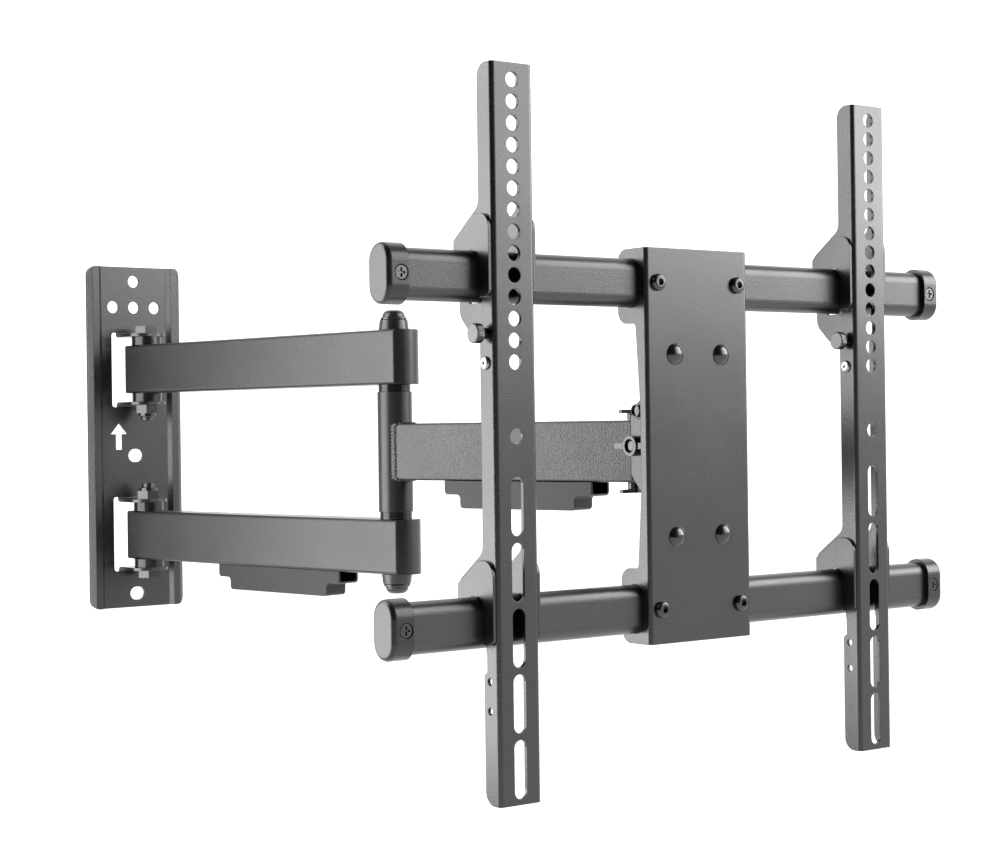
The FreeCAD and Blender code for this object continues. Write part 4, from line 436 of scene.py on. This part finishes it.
black_plating = make_plated(
    "black_plating", colour=(0.006, 0.006, 0.0065), roughness=0.14, metallic=0.0, specular=0.8,
)
bright_zinc = make_plated(
    "bright_zinc", colour=(0.34, 0.35, 0.36), roughness=0.30, metallic=1.0, specular=0.5,
)
print("two plated finishes")

# %% [markdown]
# The model's record names a material slot for every piece, and most pieces take the finish of their
# slot. Some look different from others of the same slot, so a second list goes by the piece.

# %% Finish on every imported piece
FINISH_OF_SLOT = {
    "powder_coat": powder_coat,
    "black_fastener": black_plating,
    "bright_zinc": bright_zinc,
    "black_plastic": cap_plastic,
    "black_nylon": nylon,
}
FINISH_OF_PIECE = {
    "upper_wall_arm": arm_coat,
    "lower_wall_arm": arm_coat,
    "forearm_tube": forearm_coat,
    "elbow_pipe": arm_coat,
    "upper_tube": tube_coat,
    "lower_tube": tube_coat,
    "wall_end_plugs": arm_coat,
    "elbow_end_plugs": arm_coat,
    "elbow_bolt": satin_black,
    "elbow_dome_nut": satin_black,
    "elbow_collars": satin_black,
    "lower_arm_cable_clip": clip_plastic,
    "forearm_cable_clip": clip_plastic,
    "tilt_knob": knob_plastic,
    "tilt_lock_knob": knob_plastic,
    "swivel_knob_top": knob_plastic,
    "swivel_knob_bottom": knob_plastic,
}


def dress(piece, finish):
    """Give a piece one finish all over."""
    piece.data.materials.clear()
    piece.data.materials.append(finish)


for subpart in frame["record"]["subparts"]:
    name = subpart["node"]
    finish = FINISH_OF_PIECE.get(name, FINISH_OF_SLOT[subpart["material_slot"]])
    dress(nodes[name], finish)
print("dressed", len(nodes), "pieces")

# %% [markdown]
# Some forms belong to the scene alone, and all of them go through one function. It smooths the faces
# but leaves hard edges hard, gives the piece its finish, and ties it to the body that it moves with,
# so that it follows when a joint turns.

# %% Helpers for added pieces
SHARP_DEGREES = 35


def middle_of(name):
    """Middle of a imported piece's box."""
    low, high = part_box(name)
    return (low + high) / 2


def add_piece(name, mesh, finish, body):
    """Turn a mesh into a piece that rides on a body and takes a finish."""
    for face in mesh.polygons:
        face.use_smooth = True
    mesh.set_sharp_from_angle(angle=math.radians(SHARP_DEGREES))
    piece = bpy.data.objects.new(name, mesh)
    bpy.context.scene.collection.objects.link(piece)
    dress(piece, finish)
    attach(piece, body)
    return piece


print("helpers for added pieces ready")

# %% [markdown]
# Where the forearm meets the elbow pipe, a welder ran one bead round the joint. A bead is a row of
# overlapping drops, so it is swept here along the line where the tube's outline lands on the pipe,
# with its thickness rising and falling once for each drop, and flattened against the tube. A plain
# torus could not follow the rounded rectangle, and a texture would not raise the bead off the pipe.

# %% Sweep helper
SLANT = Vector((0.3, 0.2, 0.93))


def sweep(name, centres, thickness, flat_ways, flatness, sides=10):
    """Closed bead along a ring of points, each with its thickness and the way it is flattened.

    SLANT gives each cross-section its turn; no stretch of the bead runs along it.
    """
    mesh = bpy.data.meshes.new(name)
    work = bmesh.new()
    rings = []
    count = len(centres)
    for index, centre in enumerate(centres):
        along = (centres[(index + 1) % count] - centres[index - 1]).normalized()
        side = along.cross(SLANT).normalized()
        up = side.cross(along).normalized()
        ring = []
        for step in range(sides):
            turn = 2 * math.pi * step / sides
            offset = side * math.cos(turn) + up * math.sin(turn)
            offset -= flat_ways[index] * offset.dot(flat_ways[index]) * flatness
            ring.append(work.verts.new(centre + offset * thickness[index]))
        rings.append(ring)
    for index in range(count):
        first = rings[index]
        second = rings[(index + 1) % count]
        for step in range(sides):
            after = (step + 1) % sides
            work.faces.new((first[step], first[after], second[after], second[step]))
    bmesh.ops.recalc_face_normals(work, faces=work.faces)
    work.to_mesh(mesh)
    work.free()
    return mesh


print("sweep ready")

# %% [markdown]
# The line of the bead is the tube's rounded outline, carried forward onto the round of the pipe. The
# drops are counted along that line in millimetres, so they are as large at the corners as on the
# straight sides.

# %% Weld bead at the elbow
PIPE_RADIUS = 12.375 * MM
FOREARM_HALF_WIDE = 10.0 * MM
FOREARM_HALF_TALL = 20.0 * MM
FOREARM_CORNER = 2.0 * MM
FOREARM_SWING = math.radians(14.1)
BEAD = 3.2 * MM
BEAD_FLATNESS = 0.62
BEAD_THINNEST = 0.6
DROP_PITCH = 2.4 * MM
POINT_EVERY = 0.6 * MM
POINTS_PER_CORNER = 4


def rounded_rectangle(half_wide, half_tall, corner, per_corner, step):
    """Points round an upright rounded rectangle, evenly spaced on its straight sides."""
    points = []
    middles = [(1, 1, 0), (-1, 1, 90), (-1, -1, 180), (1, -1, 270)]
    for index, (wide, tall, start) in enumerate(middles):
        middle = Vector((wide * (half_wide - corner), tall * (half_tall - corner)))
        for turn in range(per_corner + 1):
            angle = math.radians(start + 90 * turn / per_corner)
            points.append(middle + Vector((math.cos(angle), math.sin(angle))) * corner)
        after = middles[(index + 1) % len(middles)]
        target = Vector((after[0] * (half_wide - corner), after[1] * (half_tall - corner)))
        bend = math.radians(after[2])
        target += Vector((math.cos(bend), math.sin(bend))) * corner
        gap = target - points[-1]
        pieces = max(1, int(gap.length / step))
        for part in range(1, pieces):
            points.append(target - gap * (1 - part / pieces))
    return points


elbow = middle_of("elbow_pipe")
forward = Vector((math.sin(FOREARM_SWING), -math.cos(FOREARM_SWING), 0))
sideways = Vector((math.cos(FOREARM_SWING), math.sin(FOREARM_SWING), 0))
bead_line = []
bead_size = []
bead_out = []
run = 0.0
tube_outline = rounded_rectangle(
    FOREARM_HALF_WIDE, FOREARM_HALF_TALL, FOREARM_CORNER, POINTS_PER_CORNER, POINT_EVERY
)
for wide, tall in tube_outline:
    out = math.sqrt(PIPE_RADIUS ** 2 - wide ** 2)
    point = elbow + forward * out + sideways * wide + Vector((0, 0, tall))
    if bead_line:
        run += (point - bead_line[-1]).length
    bead_line.append(point)
    across = math.copysign(max(abs(wide) - FOREARM_HALF_WIDE + FOREARM_CORNER, 0.0), wide)
    upward = math.copysign(max(abs(tall) - FOREARM_HALF_TALL + FOREARM_CORNER, 0.0), tall)
    bead_out.append((sideways * across + Vector((0, 0, upward))).normalized())
    ripple = abs(math.sin(math.pi * run / DROP_PITCH))
    bead_size.append(BEAD * (BEAD_THINNEST + (1 - BEAD_THINNEST) * ripple))
weld = sweep("elbow_weld", bead_line, bead_size, bead_out, BEAD_FLATNESS)
add_piece("elbow_weld", weld, forearm_coat, "forearm")
print("weld of", len(bead_line), "rings and", round(run * 1000), "mm")

# %% [markdown]
# The thumb screws that lock the latches have a knurled rim, so that a finger and thumb can grip
# them. Knurling is cut as many small ridges along the rim. A bump map would leave the outline
# smooth, so the head is turned as a ring of points whose radius rises and falls round the rim.

# %% Knurled thumb screws
RIDGES = 40
RIDGE_DEPTH = 0.22 * MM
STEPS_PER_RIDGE = 6
MERGE_WITHIN = 0.001 * MM
SHANK = 2.2
NECK = 3.25
HEAD = 5.75
HEAD_BACK = 3.6
HEAD_FACE = 9.1
THUMB_OUTLINE = [
    (0.0, -6.2, 0), (SHANK, -6.2, 0), (SHANK, 0.3, 0), (NECK, 0.3, 0), (NECK, HEAD_BACK, 0),
    (5.0, HEAD_BACK, 0), (5.6, 4.1, 1), (HEAD, 4.5, 1), (HEAD, 8.2, 1), (5.6, 8.75, 0),
    (5.25, 9.0, 0), (5.1, 8.9, 0), (4.95, HEAD_FACE, 0), (0.0, HEAD_FACE, 0),
]


def lathe(name, outline, steps, ridges, depth):
    """Turn an outline of (radius, height, ridged) in millimetres about Z."""
    mesh = bpy.data.meshes.new(name)
    work = bmesh.new()
    rings = []
    for radius, height, ridged in outline:
        ring = []
        for step in range(steps):
            turn = 2 * math.pi * step / steps
            size = radius * MM
            if ridged:
                size -= depth * (0.5 - 0.5 * math.cos(turn * ridges))
            ring.append(work.verts.new((size * math.cos(turn), size * math.sin(turn), height * MM)))
        rings.append(ring)
    for first, second in zip(rings, rings[1:]):
        for step in range(steps):
            after = (step + 1) % steps
            work.faces.new((first[step], first[after], second[after], second[step]))
    bmesh.ops.remove_doubles(work, verts=work.verts, dist=MERGE_WITHIN)
    bmesh.ops.recalc_face_normals(work, faces=work.faces)
    work.to_mesh(mesh)
    work.free()
    return mesh


TOWARD_LEFT = Matrix.Rotation(math.radians(-90), 4, "Y")
for side in ("left", "right"):
    name = side + "_thumb_screw"
    mesh = lathe(name + "_knurled", THUMB_OUTLINE, RIDGES * STEPS_PER_RIDGE, RIDGES, RIDGE_DEPTH)
    rail_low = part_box(side + "_rail")[0]
    centre = middle_of(name)
    seat = Vector((rail_low.x, centre.y, centre.z))
    mesh.transform(Matrix.Translation(seat) @ TOWARD_LEFT)
    piece = add_piece(name + "_knurled", mesh, black_plating, name)
    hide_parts(name)
    print(piece.name, "has", len(mesh.polygons), "faces")

# %% [markdown]
# A bolt that passes through its nut shows a few turns of thread. The thread is a ridge that climbs
# once round for each pitch, so the radius here depends on the height and on the angle together.
# That is all a thread is, and it needs no helper object.

# %% Thread on the pivot bolts' ends
THREAD_RADIUS = 5.02 * MM
THREAD_PITCH = 1.5 * MM
THREAD_LONG = 3.9 * MM
THREAD_RISE = 0.3 * MM
CHAMFER_LONG = 0.8 * MM
CHAMFER_DEEP = 0.55 * MM
STEPS_ROUND = 48
LEVELS = 30
NUT_TALL = 9.0 * MM


def threaded_end(name, radius, pitch, length):
    """Short open sleeve with a climbing ridge, closed by a chamfered end at the top."""
    mesh = bpy.data.meshes.new(name)
    work = bmesh.new()
    rings = []
    for level in range(LEVELS + 1):
        height = length * level / LEVELS
        taper = min(1.0, (length - height) / CHAMFER_LONG)
        ring = []
        for step in range(STEPS_ROUND):
            turn = 2 * math.pi * step / STEPS_ROUND
            wave = 0.5 + 0.5 * math.cos(2 * math.pi * height / pitch - turn)
            size = radius - CHAMFER_DEEP * (1 - taper) + THREAD_RISE * wave * taper
            ring.append(work.verts.new((size * math.cos(turn), size * math.sin(turn), height)))
        rings.append(ring)
    for first, second in zip(rings, rings[1:]):
        for step in range(STEPS_ROUND):
            after = (step + 1) % STEPS_ROUND
            work.faces.new((first[step], first[after], second[after], second[step]))
    work.faces.new(rings[-1])
    bmesh.ops.recalc_face_normals(work, faces=work.faces)
    work.to_mesh(mesh)
    work.free()
    return mesh


nut_low, nut_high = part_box("wall_pivot_nuts")
pivot = middle_of("wall_pivot_nuts")
POINTING_DOWN = Matrix.Rotation(math.radians(180), 4, "X")
upper_nut_face = Matrix.Translation((pivot.x, pivot.y, nut_high.z - NUT_TALL)) @ POINTING_DOWN
lower_nut_face = Matrix.Translation((pivot.x, pivot.y, nut_low.z + NUT_TALL))
for name, spot in (("upper_pivot_thread", upper_nut_face), ("lower_pivot_thread", lower_nut_face)):
    mesh = threaded_end(name, THREAD_RADIUS, THREAD_PITCH, THREAD_LONG)
    mesh.transform(spot)
    add_piece(name, mesh, black_plating, "wall_bracket")
print("threads on two bolt ends")
